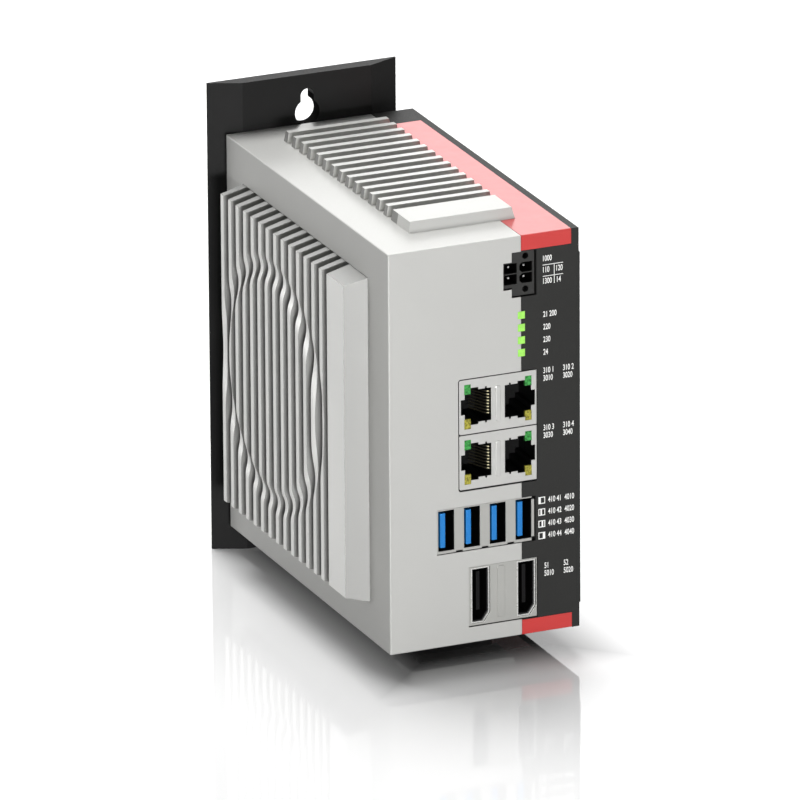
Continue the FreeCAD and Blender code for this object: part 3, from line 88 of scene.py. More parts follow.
class MarkSettings(bpy.types.PropertyGroup):
    digit_height: FloatProperty(
        name="Digit height", description="Height of the printed numerals", default=1.9 * MM, unit="LENGTH")
    digit_width: FloatProperty(
        name="Digit width", description="Width of a numeral against its height", default=0.35,
        subtype="FACTOR")
    boldness: FloatProperty(
        name="Boldness", description="Growth of a numeral's strokes, for a height of one", default=0.016)
    line_width: FloatProperty(
        name="Line width", description="Width of the printed lines", default=0.22 * MM, unit="LENGTH")
    icon_size: FloatProperty(
        name="Icon size", description="Side of the square port icons", default=2.3 * MM, unit="LENGTH")
    ink_height: FloatProperty(
        name="Ink height", description="How far the ink stands off the coat", default=0.02 * MM,
        unit="LENGTH")


class FinishSettings(bpy.types.PropertyGroup):
    silver: FloatVectorProperty(
        name="Silver", description="Colour of the cast housing", default=srgb("#c4c4c1")[:3], subtype="COLOR")
    fins: FloatVectorProperty(
        name="Fins", description="Colour of the heat sink", default=srgb("#f6f6f3")[:3], subtype="COLOR")
    black: FloatVectorProperty(
        name="Black", description="Colour of the side cover", default=srgb("#262625")[:3], subtype="COLOR")
    plate: FloatVectorProperty(
        name="Plate", description="Colour of the mounting plate", default=srgb("#1c1c1c")[:3],
        subtype="COLOR")
    red: FloatVectorProperty(
        name="Red", description="Colour of the inlays", default=srgb("#c13432")[:3], subtype="COLOR")
    ink: FloatVectorProperty(
        name="Ink", description="Colour of the printed marks", default=srgb("#e9e9e7")[:3], subtype="COLOR")


class StudioSettings(bpy.types.PropertyGroup):
    azimuth: FloatProperty(
        name="Azimuth", description="Camera's turn to the left of the front", default=math.radians(23.322),
        subtype="ANGLE")
    elevation: FloatProperty(
        name="Elevation", description="Camera's height over the horizon", default=math.radians(19.570),
        subtype="ANGLE")
    roll: FloatProperty(
        name="Roll", description="Camera's roll", default=math.radians(-0.367), subtype="ANGLE")
    distance: FloatProperty(
        name="Distance", description="Camera to the housing's middle", default=4.2309, unit="LENGTH")
    lens: FloatProperty(
        name="Lens", description="Focal length on a 36 mm sensor", default=603.95, unit="CAMERA")
    floor_radius: FloatProperty(
        name="Floor", description="Radius of the floor", default=9.0, unit="LENGTH")
    top_power: FloatProperty(
        name="Overhead lamp", description="Power of the overhead lamp", default=19.7, unit="POWER")
    front_power: FloatProperty(
        name="Front lamp", description="Power of the front lamp", default=27.0, unit="POWER")
    left_power: FloatProperty(
        name="Left lamp", description="Power of the left lamp", default=5.3, unit="POWER")
    rear_power: FloatProperty(
        name="Rear lamp", description="Power of the rear lamp", default=6.0, unit="POWER")
    world_level: FloatProperty(
        name="World", description="Strength of the world's light", default=0.3, min=0.0)


# Node helpers

def add_node(tree, kind, inputs=None, **settings):
    """Add a node, set its own settings, and link or set each named input."""
    node = tree.nodes.new(kind)
    for key, value in settings.items():
        setattr(node, key, value)
    for key, value in (inputs or {}).items():
        if isinstance(value, bpy.types.NodeSocket):
            tree.links.new(value, node.inputs[key])
        else:
            node.inputs[key].default_value = value
    return node


def new_material(name):
    """Empty node material and its tree."""
    material = bpy.data.materials.new(name)
    material.use_nodes = True
    material.node_tree.nodes.clear()
    return material, material.node_tree


def shaded(colour, amount):
    """The colour made lighter or darker by a factor, in linear light."""
    return (*[min(1.0, c * amount) for c in colour[:3]], 1.0)


def outside(tree, place, low, high, reach_mm, shares):
    """Share that goes from the first to the second value as a point leaves a box.

    The distance is the largest of |p - middle| - half over the axes, and is negative inside. The share
    changes between the two distances of reach_mm, in millimetres.
    """
    middle = (low + high) / 2
    half = (high - low) / 2
    offset = add_node(tree, "ShaderNodeVectorMath", {0: place, 1: middle}, operation="SUBTRACT")
    span = add_node(tree, "ShaderNodeVectorMath", {0: offset.outputs["Vector"]}, operation="ABSOLUTE")
    past = add_node(tree, "ShaderNodeVectorMath", {0: span.outputs["Vector"], 1: half}, operation="SUBTRACT")
    axes = add_node(tree, "ShaderNodeSeparateXYZ", {"Vector": past.outputs["Vector"]})
    side = add_node(tree, "ShaderNodeMath", {0: axes.outputs["X"], 1: axes.outputs["Y"]},
                    operation="MAXIMUM")
    most = add_node(tree, "ShaderNodeMath", {0: side.outputs["Value"], 1: axes.outputs["Z"]},
                    operation="MAXIMUM")
    share = add_node(tree, "ShaderNodeMapRange", {
        "Value": most.outputs["Value"], "From Min": reach_mm[0] * MM, "From Max": reach_mm[1] * MM,
        "To Min": shares[0], "To Max": shares[1]}, interpolation_type="SMOOTHSTEP")
    return share.outputs["Result"]


def surface(name, colour, metallic, roughness, grain_mm, bump_mm, spread=0.06, cloud_mm=30.0,
            rough_spread=0.06, round_mm=0.0, facing=None, facing_in_mm=None, dark_from_mm=None,
            dark_over_mm=0.3, dark_to=0.05, **sockets):
    """Principled finish: fine grain drives bump and roughness, broad clouds drive a slight change of tone.

    The tone goes from colour * (1 - spread) to colour * (1 + spread), and the roughness from
    roughness - rough_spread to roughness + rough_spread. Edges look rounded by round_mm. With facing, faces
    that look left or right keep its first share of the tone, and all others its second: painted light and
    shade by which way a face turns. facing_in_mm limits that to a box, given by two corners from CORNER. With
    dark_from_mm the tone falls to the share dark_to inside the casing, over dark_over_mm behind that depth
    from the front: painted shade in the openings.
    """
    material, tree = new_material(name)
    place = add_node(tree, "ShaderNodeTexCoord").outputs["Object"]
    grain = add_node(tree, "ShaderNodeTexNoise", {"Vector": place, "Scale": per(grain_mm), "Detail": 3.0})
    cloud = add_node(tree, "ShaderNodeTexNoise", {"Vector": place, "Scale": per(cloud_mm), "Detail": 2.0})
    even = add_node(tree, "ShaderNodeMapRange", {
        "Value": cloud.outputs["Fac"], "From Min": NOISE_LOW, "From Max": NOISE_HIGH})
    tone = add_node(tree, "ShaderNodeMix", {"Factor": even.outputs["Result"]}, data_type="RGBA")
    tone.inputs["A"].default_value = shaded(colour, 1 - spread)
    tone.inputs["B"].default_value = shaded(colour, 1 + spread)
    rough = add_node(tree, "ShaderNodeMapRange", {
        "Value": grain.outputs["Fac"], "From Min": NOISE_LOW, "From Max": NOISE_HIGH,
        "To Min": max(SMOOTHEST, roughness - rough_spread), "To Max": roughness + rough_spread})
    bump_inputs = {"Height": grain.outputs["Fac"], "Strength": 1.0, "Distance": bump_mm * MM}
    if round_mm > 0:
        bevel = add_node(tree, "ShaderNodeBevel", {"Radius": round_mm * MM}, samples=6)
        bump_inputs["Normal"] = bevel.outputs["Normal"]
    bump = add_node(tree, "ShaderNodeBump", bump_inputs)
    colour_out = tone.outputs["Result"]
    # Painted shade: the tone of a face is scaled by how far its normal turns left or right
    if facing is not None:
        normal = add_node(tree, "ShaderNodeTexCoord").outputs["Normal"]
        axes = add_node(tree, "ShaderNodeSeparateXYZ", {"Vector": normal})
        turn = add_node(tree, "ShaderNodeMath", {0: axes.outputs["X"]}, operation="ABSOLUTE")
        sideways = turn.outputs["Value"]
        if facing_in_mm is not None:
            low, high = [CORNER + Vector(point) * MM for point in facing_in_mm]
            inside = outside(tree, place, low, high, (0.0, 0.1), (1.0, 0.0))
            sideways = add_node(tree, "ShaderNodeMath", {0: sideways, 1: inside},
                                operation="MULTIPLY").outputs["Value"]
        share = add_node(tree, "ShaderNodeMapRange", {
            "Value": sideways, "From Min": SIDE_FACE[0], "From Max": SIDE_FACE[1],
            "To Min": facing[1], "To Max": facing[0]}, interpolation_type="SMOOTHSTEP")
        side_shade = add_node(tree, "ShaderNodeVectorMath", {0: colour_out, "Scale": share.outputs["Result"]},
                        operation="SCALE")
        colour_out = side_shade.outputs["Vector"]
    # Painted shade: the tone falls to dark_to behind a depth from the front, inside the casing
    if dark_from_mm is not None:
        low = CORNER + Vector((1.0, dark_from_mm, 1.0)) * MM
        high = FAR_CORNER - Vector((0.0, 1.0, 1.0)) * MM
        fade = outside(tree, place, low, high, (-dark_over_mm, 0.0), (dark_to, 1.0))
        dark = add_node(tree, "ShaderNodeVectorMath", {0: colour_out, "Scale": fade}, operation="SCALE")
        colour_out = dark.outputs["Vector"]
    inputs = {"Metallic": metallic, "Roughness": rough.outputs["Result"], "Normal": bump.outputs["Normal"],
              "Base Color": colour_out, **sockets}
    shader = add_node(tree, "ShaderNodeBsdfPrincipled", inputs)
    out = add_node(tree, "ShaderNodeOutputMaterial")
    tree.links.new(shader.outputs["BSDF"], out.inputs["Surface"])
    return material


# Finishes, one for each material slot of the record

def make_finishes(settings):
    """Finishes of the object, by the record's slot, several with painted shade."""
    return {
        # Die-cast aluminium, blasted and clear coated: a fine even grain with a soft, slightly metallic
        # sheen. Behind the openings the casting is painted black, as painted shade. The side-facing ends of
        # the top ribs are painted darker, as painted shade.
        "cast_silver": surface("die-cast aluminium, blasted and lacquered", (*settings.silver, 1.0), 0.33,
                               0.38, 0.35, 0.008, spread=0.012, round_mm=0.12, facing=(0.42, 1.0),
                               facing_in_mm=RIBS, dark_from_mm=0.2, dark_over_mm=0.1),
        # Pressed aluminium, turned and bright anodised: the turned outer faces are lighter than the casting,
        # partly for the finish and partly as painted sheen. The faces that don't look sideways, such as the
        # flanks between the fins, are painted darker, as painted shade.
        "fin_silver": surface("aluminium, turned and bright anodised", (*settings.fins, 1.0), 0.35, 0.48,
                              0.3, 0.005, spread=0.015, round_mm=0.09, facing=(1.0, 0.36)),
        # Die-cast cover under matte powder coat: orange peel about 0.5 mm across and no metal to be seen
        "black_coat": surface("powder coat, matte black", (*settings.black, 1.0), 0.0, 0.6, 0.5, 0.010,
                              spread=0.05, round_mm=0.25, **{"Specular IOR Level": 0.25}),
        # Steel plate under satin powder coat: smoother and a little darker than the cover. dull_holes gives
        # it its gloss.
        "black_plate": surface("powder coat, satin black", (*settings.plate, 1.0), 0.0, 0.5, 0.6, 0.012,
                               spread=0.06, round_mm=0.3),
        # Lacquered inlay: even red under a smooth clear coat that mirrors the room at a low angle
        "red_film": surface("lacquered inlay, red", (*settings.red, 1.0), 0.0, 0.4, 4.0, 0.002,
                            spread=0.01, rough_spread=0.02,
                            **{"Coat Weight": 0.6, "Coat Roughness": 0.12, "Coat IOR": 1.5}),
        # Tin-plated spring steel, stamped: bright, with faint rolling marks. Behind 0.42 mm from the front it
        # is painted darker, as painted shade inside the sockets.
        "sheet_metal": surface("tin-plated steel, stamped", srgb("#cfcfcc"), 0.45, 0.34, 0.6, 0.0004,
                               spread=0.02, cloud_mm=6.0, round_mm=0.22, dark_from_mm=0.42,
                               dark_over_mm=0.1),
        # Nickel-plated steel, stamped and satin: about as grey as the casting around it. Behind 0.9 mm from
        # the front it is painted darker, as painted shade inside the openings.
        "dull_sheet": surface("nickel-plated steel, satin", srgb("#b2b2ae"), 0.4, 0.4, 0.3, 0.002,
                              spread=0.02, cloud_mm=6.0, round_mm=0.22, dark_from_mm=0.9),
        # Tin-plated brass pins: bright tips in front, painted dark farther back, as painted shade of the
        # chamber
        "tinned": surface("tin-plated brass", srgb("#f0f0ee"), 0.6, 0.3, 0.2, 0.001, dark_from_mm=2.1,
                          dark_to=0.02),
        # Zinc-plated steel, cold headed: cool grey and slightly cloudy
        "steel": surface("zinc-plated steel, cold headed", srgb("#b9bbbd"), 1.0, 0.33, 0.4, 0.004,
                         cloud_mm=3.0),
        # Nickel-plated steel, drawn: the shells' edges shine round the two display mouths. Behind 0.9 mm from
        # the front the shells are painted darker, as painted shade.
        "bright_shell": surface("nickel-plated steel, bright drawn", srgb("#ecece9"), 0.5, 0.3, 0.6, 0.0004,
                                dark_from_mm=0.9, dark_over_mm=0.2),
        # Blackened steel: the threaded bushes show as dark rings with a faint gleam
        "dark_bush": surface("blackened steel, turned", srgb("#1b1b1c"), 0.6, 0.35, 0.3, 0.002),
        # PBT, moulded: dull black with a fine spark-eroded texture. Deeper than 0.7 mm it is painted darker,
        # as painted shade inside the sockets.
        "black_plastic": surface("moulded PBT, black", srgb("#141416"), 0.0, 0.5, 0.25, 0.006,
                                 dark_from_mm=0.7, dark_over_mm=1.2, dark_to=0.1,
                                 **{"Specular IOR Level": 0.2}),
        # Glass-filled nylon, moulded: dark grey face, and chambers painted black behind it, as painted shade
        "grey_plastic": surface("moulded nylon, dark grey", srgb("#333332"), 0.0, 0.5, 0.25, 0.006,
                                dark_from_mm=0.8, dark_over_mm=0.4, dark_to=0.03,
                                **{"Specular IOR Level": 0.2}),
        # PBT, moulded: blue, smoother than the black
        "blue_plastic": surface("moulded PBT, blue", srgb("#1c78c2"), 0.0, 0.32, 0.3, 0.003),
        # Copper alloy spring, gold flashed: pale and bright in front, painted dark farther back, as painted
        # shade
        "gold": surface("gold-flashed contact", srgb("#fdf0c6"), 0.2, 0.3, 0.2, 0.001, cloud_mm=4.0,
                        dark_from_mm=2.2, dark_to=0.03),
        # Clear tinted polycarbonate lamp windows, unlit, cloudy from the fibres behind them
        "green_lens": surface("tinted polycarbonate, green", srgb("#388a41"), 0.0, 0.2, 0.4, 0.002,
                              spread=0.6, cloud_mm=0.8),
        "yellow_lens": surface("tinted polycarbonate, yellow", srgb("#8f8935"), 0.0, 0.2, 0.4, 0.002,
                               spread=0.6, cloud_mm=0.6),
        # Frosted acrylic light guide with a green lamp behind it
        "clear_plastic": surface("acrylic light guide, lit green", srgb("#92d45a"), 0.0, 0.3, 0.5, 0.003,
                                 spread=0.15, cloud_mm=1.5, round_mm=0.3,
                                 **{"Emission Color": srgb("#92d45a"), "Emission Strength": 0.25}),
        # Glass-epoxy laminate under green solder resist: weave about 0.5 mm, satin
        "board": surface("solder resist on glass epoxy", srgb("#1d5b38"), 0.0, 0.38, 0.5, 0.006, spread=0.12,
                         cloud_mm=8.0),
        # Filled epoxy package, moulded: near black and matte
        "chip": surface("filled epoxy, moulded", srgb("#26262a"), 0.0, 0.6, 0.15, 0.004),
        # Silicone gap pad: soft grey, dull
        "heat_pad": surface("silicone gap pad", srgb("#8f9296"), 0.0, 0.8, 0.6, 0.02),
        # Nickel-plated can, deep drawn: bright with fine draw marks
        "cell": surface("nickel-plated steel, drawn", srgb("#c9cacc"), 1.0, 0.25, 0.3, 0.002),
        # Nickel-plated copper lid, milled
        "die": surface("nickel-plated copper, milled", srgb("#c4c3bf"), 1.0, 0.28, 0.5, 0.003),
    }


def dull_holes(material):
    """Give the plate its gloss, apart from the walls of the keyhole, where the paint is thin and dull."""
    tree = material.node_tree
    shader = next(node for node in tree.nodes if node.type == "BSDF_PRINCIPLED")
    place = add_node(tree, "ShaderNodeTexCoord").outputs["Object"]
    low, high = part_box("mounting_plate")
    inset = Vector(KEYHOLE_INSET) * MM
    gloss = outside(tree, place, low + inset, high - inset, (-0.05, 0.0), (0.0, PLATE_GLOSS))
    tree.links.new(gloss, shader.inputs["Specular IOR Level"])


# Nodes whose finish differs from the rest of their slot
OWN_FINISH = {"display_shells": "bright_shell", "power_nuts": "dark_bush"}


class IPC_OT_finishes(bpy.types.Operator):
    """Give every CAD node the finish of its slot in the record"""

    bl_idname = "ipc.finishes"
    bl_label = "Finishes"

    def execute(self, context):
        finishes = make_finishes(context.scene.ipc_finish)
        dull_holes(finishes["black_plate"])
        slots = {row["node"]: row["material_slot"] for row in frame["record"]["subparts"]}
        slots.update(OWN_FINISH)
        for name, thing in frame["nodes"].items():
            if slots[name] not in finishes:
                raise RuntimeError("no finish for slot " + slots[name])
            thing.data.materials.clear()
            thing.data.materials.append(finishes[slots[name]])
        return {"FINISHED"}


# Printed marks

def white_ink(colour):
    """Screen-printed ink: opaque, slightly raised and a little rougher than the coat under it."""
    return surface("screen-printed ink, white", (*colour, 1.0), 0.0, 0.6, 0.2, 0.002, spread=0.03,
                   cloud_mm=2.0)


def digits(text, x, top, settings):
    """Corners and faces of a line of numerals whose top left corner is x, top on the front, in millimetres.

    The font's outline is filled, moved so that its own box starts at zero, scaled to the digit height with
    the width narrowed, and laid on the front: right stays right, up becomes z and the face looks forward.
    """
    curve = bpy.data.curves.new("digits", "FONT")
    curve.body = text
    curve.fill_mode = "FRONT"
    curve.offset = settings.boldness
    holder = bpy.data.objects.new("digits", curve)
    mesh = bpy.data.meshes.new_from_object(holder)
    flat = np.empty(len(mesh.vertices) * 3)
    mesh.vertices.foreach_get("co", flat)
    flat = flat.reshape(-1, 3)
    faces = [list(face.vertices) for face in mesh.polygons]
    bpy.data.objects.remove(holder)
    bpy.data.curves.remove(curve)
    bpy.data.meshes.remove(mesh)
    low = flat.min(axis=0)
    scale = settings.digit_height / (flat[:, 1].max() - low[1])
    wide = scale * settings.digit_width / FONT_WIDTH
    placed = np.zeros_like(flat)
    placed[:, 0] = CORNER.x + x * MM + (flat[:, 0] - low[0]) * wide
    placed[:, 1] = CORNER.y - settings.ink_height
    placed[:, 2] = CORNER.z + top * MM - settings.digit_height + (flat[:, 1] - low[1]) * scale
    return placed, faces


def bars(rects, settings):
    """Corners and faces of printed bars, each (left, right, low, high) on the front in millimetres."""
    rects = np.array(rects, float) * MM
    count = len(rects)
    corners = np.empty((count, 4, 3))
    corners[:, :, 0] = CORNER.x + rects[:, [0, 1, 1, 0]]
    corners[:, :, 1] = CORNER.y - settings.ink_height
    corners[:, :, 2] = CORNER.z + rects[:, [2, 2, 3, 3]]
    faces = np.arange(count * 4).reshape(count, 4).tolist()
    return corners.reshape(-1, 3), faces


def joined(groups):
    """One list of corners and one of faces: each group's face numbers move past the corners before it."""
    corners, faces, start = [], [], 0
    for points, polygons in groups:
        corners.append(points)
        faces += [[index + start for index in polygon] for polygon in polygons]
        start += len(points)
    return np.concatenate(corners), faces


def put_piece(name, corners, faces, material):
    """Printed piece of the given mesh, riding on the casing."""
    mesh = bpy.data.meshes.new(name)
    mesh.from_pydata(corners.tolist(), [], faces)
    mesh.validate()
    mesh.update()
    mesh.materials.append(material)
    thing = bpy.data.objects.new(name, mesh)
    bpy.context.scene.collection.objects.link(thing)
    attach(thing, BODY)


# Places of the marks on the front, from the casing's lower left corner in millimetres. A line of numerals is
# given by its left end and its top.
COLUMNS = 52.4, 59.1
LINE_STEP = 2.55
POWER_TEXTS = (
    ("1000", 52.4, 124.4), ("110", 52.4, 120.7), ("120", 56.9, 120.7), ("1300", 52.4, 117.0),
    ("14", 57.1, 117.0))
POWER_GRID_ENDS = 52.3, 59.2
POWER_GRID_LINES = 121.3, 117.6
POWER_DIVIDER = 56.2
POWER_DIVIDER_ENDS = 114.9, 121.1
STATUS_TEXTS = "21 200", "220", "230", "24"
STATUS_TOP = 106.1
STATUS_STEP = 4.14
NETWORK_TOPS = 87.6, 68.7
USB_PORTS = 4
USB_TOP = 44.9
USB_STEP = 3.9
USB_COLUMNS = 53.9, 59.5
ICON_LEFT = 50.6
ICON_RIM = 0.28
ICON_STRIP = 0.55
# How far a line of numerals starts below the top of its icon
ICON_TEXT_DROP = 0.2
DISPLAY_COLUMNS = 52.6, 59.2
DISPLAY_TOP = 22.9


def power_marks(settings):
    """Numerals of the power socket, with two lines and a divider between them."""
    half = settings.line_width / MM / 2
    lines = [(*POWER_GRID_ENDS, z - half, z + half) for z in POWER_GRID_LINES]
    lines.append((POWER_DIVIDER - half, POWER_DIVIDER + half, *POWER_DIVIDER_ENDS))
    return [digits(text, x, top, settings) for text, x, top in POWER_TEXTS] + [bars(lines, settings)]


def status_marks(settings):
    """One line of numerals beside each status light."""
    return [digits(text, COLUMNS[0], STATUS_TOP - STATUS_STEP * k, settings)
            for k, text in enumerate(STATUS_TEXTS)]


def port_marks(text, code, x, top, settings):
    """Two lines of numerals for one port."""
    return [digits(text, x, top, settings), digits(code, x, top - LINE_STEP, settings)]


def network_marks(settings):
    """Two lines of numerals for each of the two by two network ports."""
    marks = []
    for row, top in enumerate(NETWORK_TOPS):
        for column, x in enumerate(COLUMNS):
            port = 2 * row + column + 1
            marks += port_marks(f"310 {port}", f"30{port}0", x, top, settings)
    return marks


def usb_marks(settings):
    """A framed icon for each port, whose inner strip moves right with the port's number, and two numbers."""
    marks = []
    size = settings.icon_size / MM
    right = ICON_LEFT + size
    for k in range(USB_PORTS):
        top = USB_TOP - USB_STEP * k
        low = top - size
        marks.append(bars([
            (ICON_LEFT, right, top - ICON_RIM, top), (ICON_LEFT, right, low, low + ICON_RIM),
            (ICON_LEFT, ICON_LEFT + ICON_RIM, low + ICON_RIM, top - ICON_RIM),
            (right - ICON_RIM, right, low + ICON_RIM, top - ICON_RIM)], settings))
        strip = ICON_LEFT + ICON_RIM + k * (size - 2 * ICON_RIM - ICON_STRIP) / (USB_PORTS - 1)
        marks.append(bars([(strip, strip + ICON_STRIP, low + ICON_RIM, top - ICON_RIM)], settings))
        for text, x in zip((f"410 4{k + 1}", f"40{k + 1}0"), USB_COLUMNS):
            marks.append(digits(text, x, top - ICON_TEXT_DROP, settings))
    return marks


def display_marks(settings):
    """Two lines of numerals for each display port."""
    marks = []
    for port, x in enumerate(DISPLAY_COLUMNS, start=1):
        marks += port_marks(f"5{port}", f"50{port}0", x, DISPLAY_TOP, settings)
    return marks


class IPC_OT_marks(bpy.types.Operator):
    """Print the numerals, the power socket's grid and the port icons on the black front"""

    bl_idname = "ipc.marks"
    bl_label = "Printed marks"

    def execute(self, context):
        settings = context.scene.ipc_marks
        ink = white_ink(context.scene.ipc_finish.ink)
        put_piece("power_marks", *joined(power_marks(settings)), ink)
        put_piece("status_marks", *joined(status_marks(settings)), ink)
        put_piece("network_marks", *joined(network_marks(settings)), ink)
        put_piece("usb_marks", *joined(usb_marks(settings)), ink)
        put_piece("display_marks", *joined(display_marks(settings)), ink)
        return {"FINISHED"}


# Studio

# The floor's own glow towards the camera, and how far its painted shadow reaches in and out of the casing's
# outline and to the right of it, in millimetres
FLOOR_GLOW = 0.13
FLOOR_SHADE_REACH = -15.0, 17.0
FLOOR_SHADE_SHIFT = 4.0
FLOOR_SHADE_LOW = 0.02
# Roughness of the polished floor, the millimetres over which it changes, and the index of refraction
FLOOR_ROUGHNESS = 0.02, 0.04
FLOOR_CLOUD = 400.0
FLOOR_IOR = 1.42
# How far the floor lies under the mounting plate, in millimetres
FLOOR_DROP = 0.02
# Middle of the casing that the camera aims at, and the point that the lamps face, from the casing's corner
CAMERA_MIDDLE = 33.0, 66.0, 66.0
LAMP_MIDDLE = 32.0, 66.0, 60.0
# The aim point's shift across the view in millimetres: to the left and down
AIM_LEFT, AIM_DOWN = 0.636, 7.195
# Each lamp's place from LAMP_MIDDLE, its width and its height, in metres
LAMPS = {
    "overhead lamp": ((0.0, 0.5, 1.3), 0.9, 0.7),
    "front lamp": ((-0.35, -1.68, 0.06), 0.6, 0.2),
    "left lamp": ((-1.5, 0.75, 0.4), 0.6, 0.8),
    "rear lamp": ((0.7, 1.6, 0.55), 1.6, 0.8),
}
# The world is dimmest towards the front left: between these shares of that direction the level falls
DIM_TOWARDS = -0.5, -0.85, 0.0
DIM_SHARES = -0.2, 0.9
DIM_LEVEL = 0.25
# Level of the world in a mirror image
MIRROR_LEVEL = 0.9


def studio_floor_material():
    """Polished pale floor: a faint mirror of the object, and a painted shadow where the object stands over
    it.
    """
    material, tree = new_material("studio floor, polished white")
    place = add_node(tree, "ShaderNodeTexCoord").outputs["Object"]
    noise = add_node(tree, "ShaderNodeTexNoise", {"Vector": place, "Scale": per(FLOOR_CLOUD)})
    rough = add_node(tree, "ShaderNodeMapRange", {
        "Value": noise.outputs["Fac"], "To Min": FLOOR_ROUGHNESS[0], "To Max": FLOOR_ROUGHNESS[1]})
    path = add_node(tree, "ShaderNodeLightPath")
    white = add_node(tree, "ShaderNodeMix", {"Factor": path.outputs["Is Camera Ray"]}, data_type="RGBA")
    white.inputs["A"].default_value = srgb("#a4a4a4")
    white.inputs["B"].default_value = srgb("#f4f4f4")
    tall = Vector((0.0, 0.0, 1.0))
    right = Vector((FLOOR_SHADE_SHIFT, 0.0, 0.0)) * MM
    # Painted shadow: the floor's colour and glow fall to FLOOR_SHADE_LOW near the casing's outline
    shade = outside(tree, place, CORNER + right - tall, FAR_CORNER + right + tall, FLOOR_SHADE_REACH,
                    (FLOOR_SHADE_LOW, 1.0))
    colour = add_node(tree, "ShaderNodeVectorMath", {0: white.outputs["Result"], "Scale": shade},
                      operation="SCALE")
    own = add_node(tree, "ShaderNodeMath", {0: path.outputs["Is Camera Ray"], 1: FLOOR_GLOW},
                   operation="MULTIPLY")
    shader = add_node(tree, "ShaderNodeBsdfPrincipled", {
        "Base Color": colour.outputs["Vector"], "Roughness": rough.outputs["Result"], "IOR": FLOOR_IOR,
        "Emission Color": colour.outputs["Vector"], "Emission Strength": own.outputs["Value"]})
    # The floor is left out of sight from below, so that the underside can be looked at
    clear = add_node(tree, "ShaderNodeBsdfTransparent")
    below = add_node(tree, "ShaderNodeNewGeometry").outputs["Backfacing"]
    either = add_node(tree, "ShaderNodeMixShader", {
        0: below, 1: shader.outputs["BSDF"], 2: clear.outputs["BSDF"]})
    out = add_node(tree, "ShaderNodeOutputMaterial")
    tree.links.new(either.outputs["Shader"], out.inputs["Surface"])
    return material


def disc(radius, level, rings=12, spokes=96):
    """Flat disc: ring radii grow as the square of their number, and each ring's points are evenly spaced."""
    r = radius * (np.arange(1, rings + 1) / rings) ** 2
    a = np.linspace(0, 2 * math.pi, spokes, endpoint=False)
    x = np.outer(r, np.cos(a)).ravel()
    y = np.outer(r, np.sin(a)).ravel()
    corners = np.column_stack([x, y, np.full_like(x, level)])
    corners = np.vstack([corners, [0, 0, level]])
    i, j = np.meshgrid(np.arange(rings - 1), np.arange(spokes), indexing="ij")
    k = (j + 1) % spokes
    quads = np.stack([i * spokes + j, (i + 1) * spokes + j, (i + 1) * spokes + k, i * spokes + k], axis=-1)
    middle = rings * spokes
    fan = [[middle, s, (s + 1) % spokes] for s in range(spokes)]
    return corners, quads.reshape(-1, 4).tolist() + fan


def soft_lamp(name, place, target, width, height, power):
    """White rectangular lamp that faces a point and can't be seen itself."""
    data = bpy.data.lights.new(name, "AREA")
    data.shape = "RECTANGLE"
    data.size = width
    data.size_y = height
    data.energy = power
    lamp = bpy.data.objects.new(name, data)
    lamp.location = place
    lamp.rotation_euler = (target - place).to_track_quat("-Z", "Y").to_euler()
    lamp.visible_camera = False
    bpy.context.scene.collection.objects.link(lamp)


def white_world(level):
    """White world: plain white for the camera, and dimmer as a light and in reflections.

    Both levels fall to the share DIM_LEVEL as the direction's dot product with DIM_TOWARDS goes over the
    range DIM_SHARES.
    """
    world = bpy.data.worlds.new("studio")
    world.use_nodes = True
    tree = world.node_tree
    tree.nodes.clear()
    path = add_node(tree, "ShaderNodeLightPath")
    towards = add_node(tree, "ShaderNodeTexCoord").outputs["Generated"]
    share = add_node(tree, "ShaderNodeVectorMath", {0: towards, 1: DIM_TOWARDS}, operation="DOT_PRODUCT")
    dim = add_node(tree, "ShaderNodeMapRange", {
        "Value": share.outputs["Value"], "From Min": DIM_SHARES[0], "From Max": DIM_SHARES[1],
        "To Min": 1.0, "To Max": DIM_LEVEL})
    lit = add_node(tree, "ShaderNodeMapRange", {
        "Value": path.outputs["Is Glossy Ray"], "To Min": level, "To Max": MIRROR_LEVEL})
    weak = add_node(tree, "ShaderNodeMath", {0: dim.outputs["Result"], 1: lit.outputs["Result"]},
                    operation="MULTIPLY")
    strength = add_node(tree, "ShaderNodeMath", {0: weak.outputs["Value"], 1: path.outputs["Is Camera Ray"]},
                        operation="MAXIMUM")
    light = add_node(tree, "ShaderNodeBackground", {
        "Color": (1.0, 1.0, 1.0, 1.0), "Strength": strength.outputs["Value"]})
    out = add_node(tree, "ShaderNodeOutputWorld")
    tree.links.new(light.outputs["Background"], out.inputs["Surface"])
    return world


def photo_camera(settings):
    """Camera that looks at the housing's middle from the given turn, height and distance.

    Forward is (sin a cos e, cos a cos e, -sin e), right is forward crossed with up, and both cross axes turn
    by the roll. The aim point is moved across the view so that the object sits in the frame as in the
    photograph.
    """
    a, e, roll = settings.azimuth, settings.elevation, settings.roll
    ahead = Vector((math.sin(a) * math.cos(e), math.cos(a) * math.cos(e), -math.sin(e)))
    level_right = ahead.cross(Vector((0, 0, 1))).normalized()
    level_up = level_right.cross(ahead)
    right = math.cos(roll) * level_right + math.sin(roll) * level_up
    up = math.cos(roll) * level_up - math.sin(roll) * level_right
    middle = CORNER + Vector(CAMERA_MIDDLE) * MM
    aim = middle - AIM_LEFT * MM * right - AIM_DOWN * MM * up
    place = aim - ahead * settings.distance
    data = bpy.data.cameras.new("photo camera")
    data.sensor_width = 36.0
    data.lens = settings.lens
    data.clip_end = 100.0
    camera = bpy.data.objects.new("photo camera", data)
    turn = Matrix((right, up, -ahead)).transposed().to_4x4()
    camera.matrix_world = Matrix.Translation(place) @ turn
    bpy.context.scene.collection.objects.link(camera)
    return camera


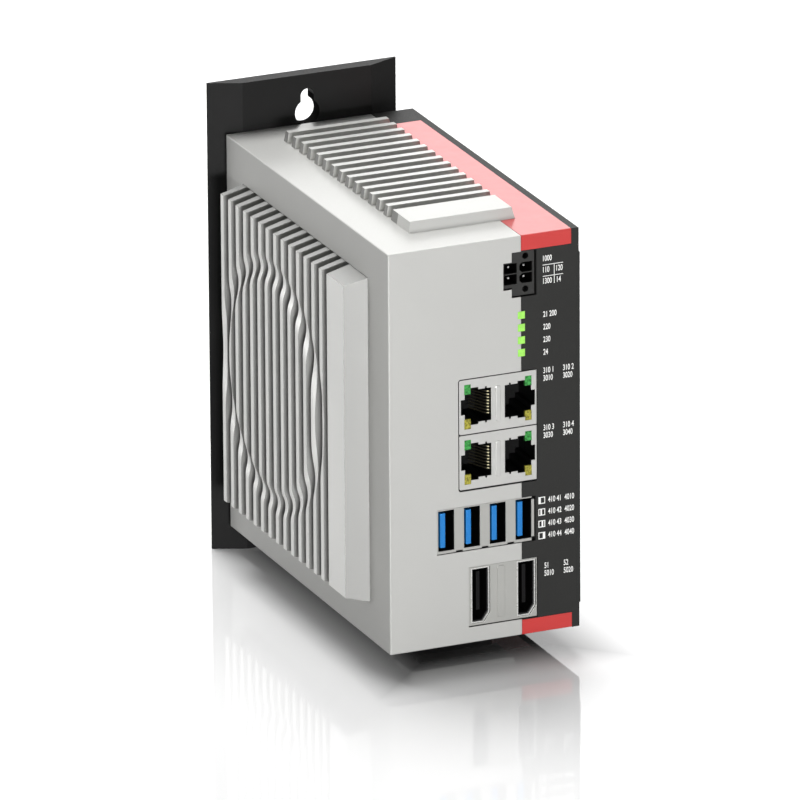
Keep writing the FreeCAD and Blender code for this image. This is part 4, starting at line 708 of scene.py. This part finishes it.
class IPC_OT_studio(bpy.types.Operator):
    """Set up the pale floor, the soft lamps, the white world and the camera"""

    bl_idname = "ipc.studio"
    bl_label = "Studio"

    def execute(self, context):
        settings = context.scene.ipc_studio
        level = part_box("mounting_plate")[0].z - FLOOR_DROP * MM
        corners, faces = disc(settings.floor_radius, level)
        mesh = bpy.data.meshes.new("floor")
        mesh.from_pydata(corners.tolist(), [], faces)
        mesh.update()
        mesh.materials.append(studio_floor_material())
        floor = bpy.data.objects.new("floor", mesh)
        context.scene.collection.objects.link(floor)
        middle = CORNER + Vector(LAMP_MIDDLE) * MM
        powers = settings.top_power, settings.front_power, settings.left_power, settings.rear_power
        for (name, (place, width, height)), power in zip(LAMPS.items(), powers):
            soft_lamp(name, middle + Vector(place), middle, width, height, power)
        context.scene.world = white_world(settings.world_level)
        context.scene.camera = photo_camera(settings)
        context.scene.view_settings.view_transform = "Standard"
        return {"FINISHED"}


class IPC_PT_panel(bpy.types.Panel):
    """Sidebar panel that lists the settings and the steps"""

    bl_idname = "IPC_PT_panel"
    bl_label = "Industrial PC"
    bl_space_type = "VIEW_3D"
    bl_region_type = "UI"
    bl_category = "Industrial PC"

    def draw(self, context):
        for group in (context.scene.ipc_finish, context.scene.ipc_marks, context.scene.ipc_studio):
            box = self.layout.box()
            for name in group.__annotations__:
                box.prop(group, name)
        for step in STEPS:
            self.layout.operator(step.bl_idname)


STEPS = (IPC_OT_finishes, IPC_OT_marks, IPC_OT_studio)
GROUPS = {"ipc_finish": FinishSettings, "ipc_marks": MarkSettings, "ipc_studio": StudioSettings}


def register():
    for group in GROUPS.values():
        bpy.utils.register_class(group)
    for name, group in GROUPS.items():
        setattr(bpy.types.Scene, name, PointerProperty(type=group))
    for thing in STEPS + (IPC_PT_panel,):
        bpy.utils.register_class(thing)


def unregister():
    for thing in reversed(STEPS + (IPC_PT_panel,)):
        bpy.utils.unregister_class(thing)
    for name in GROUPS:
        delattr(bpy.types.Scene, name)
    for group in GROUPS.values():
        bpy.utils.unregister_class(group)


def main():
    """Build everything in order."""
    register()
    bpy.ops.ipc.finishes()
    bpy.ops.ipc.marks()
    bpy.ops.ipc.studio()


if __name__ == "__main__":
    main()
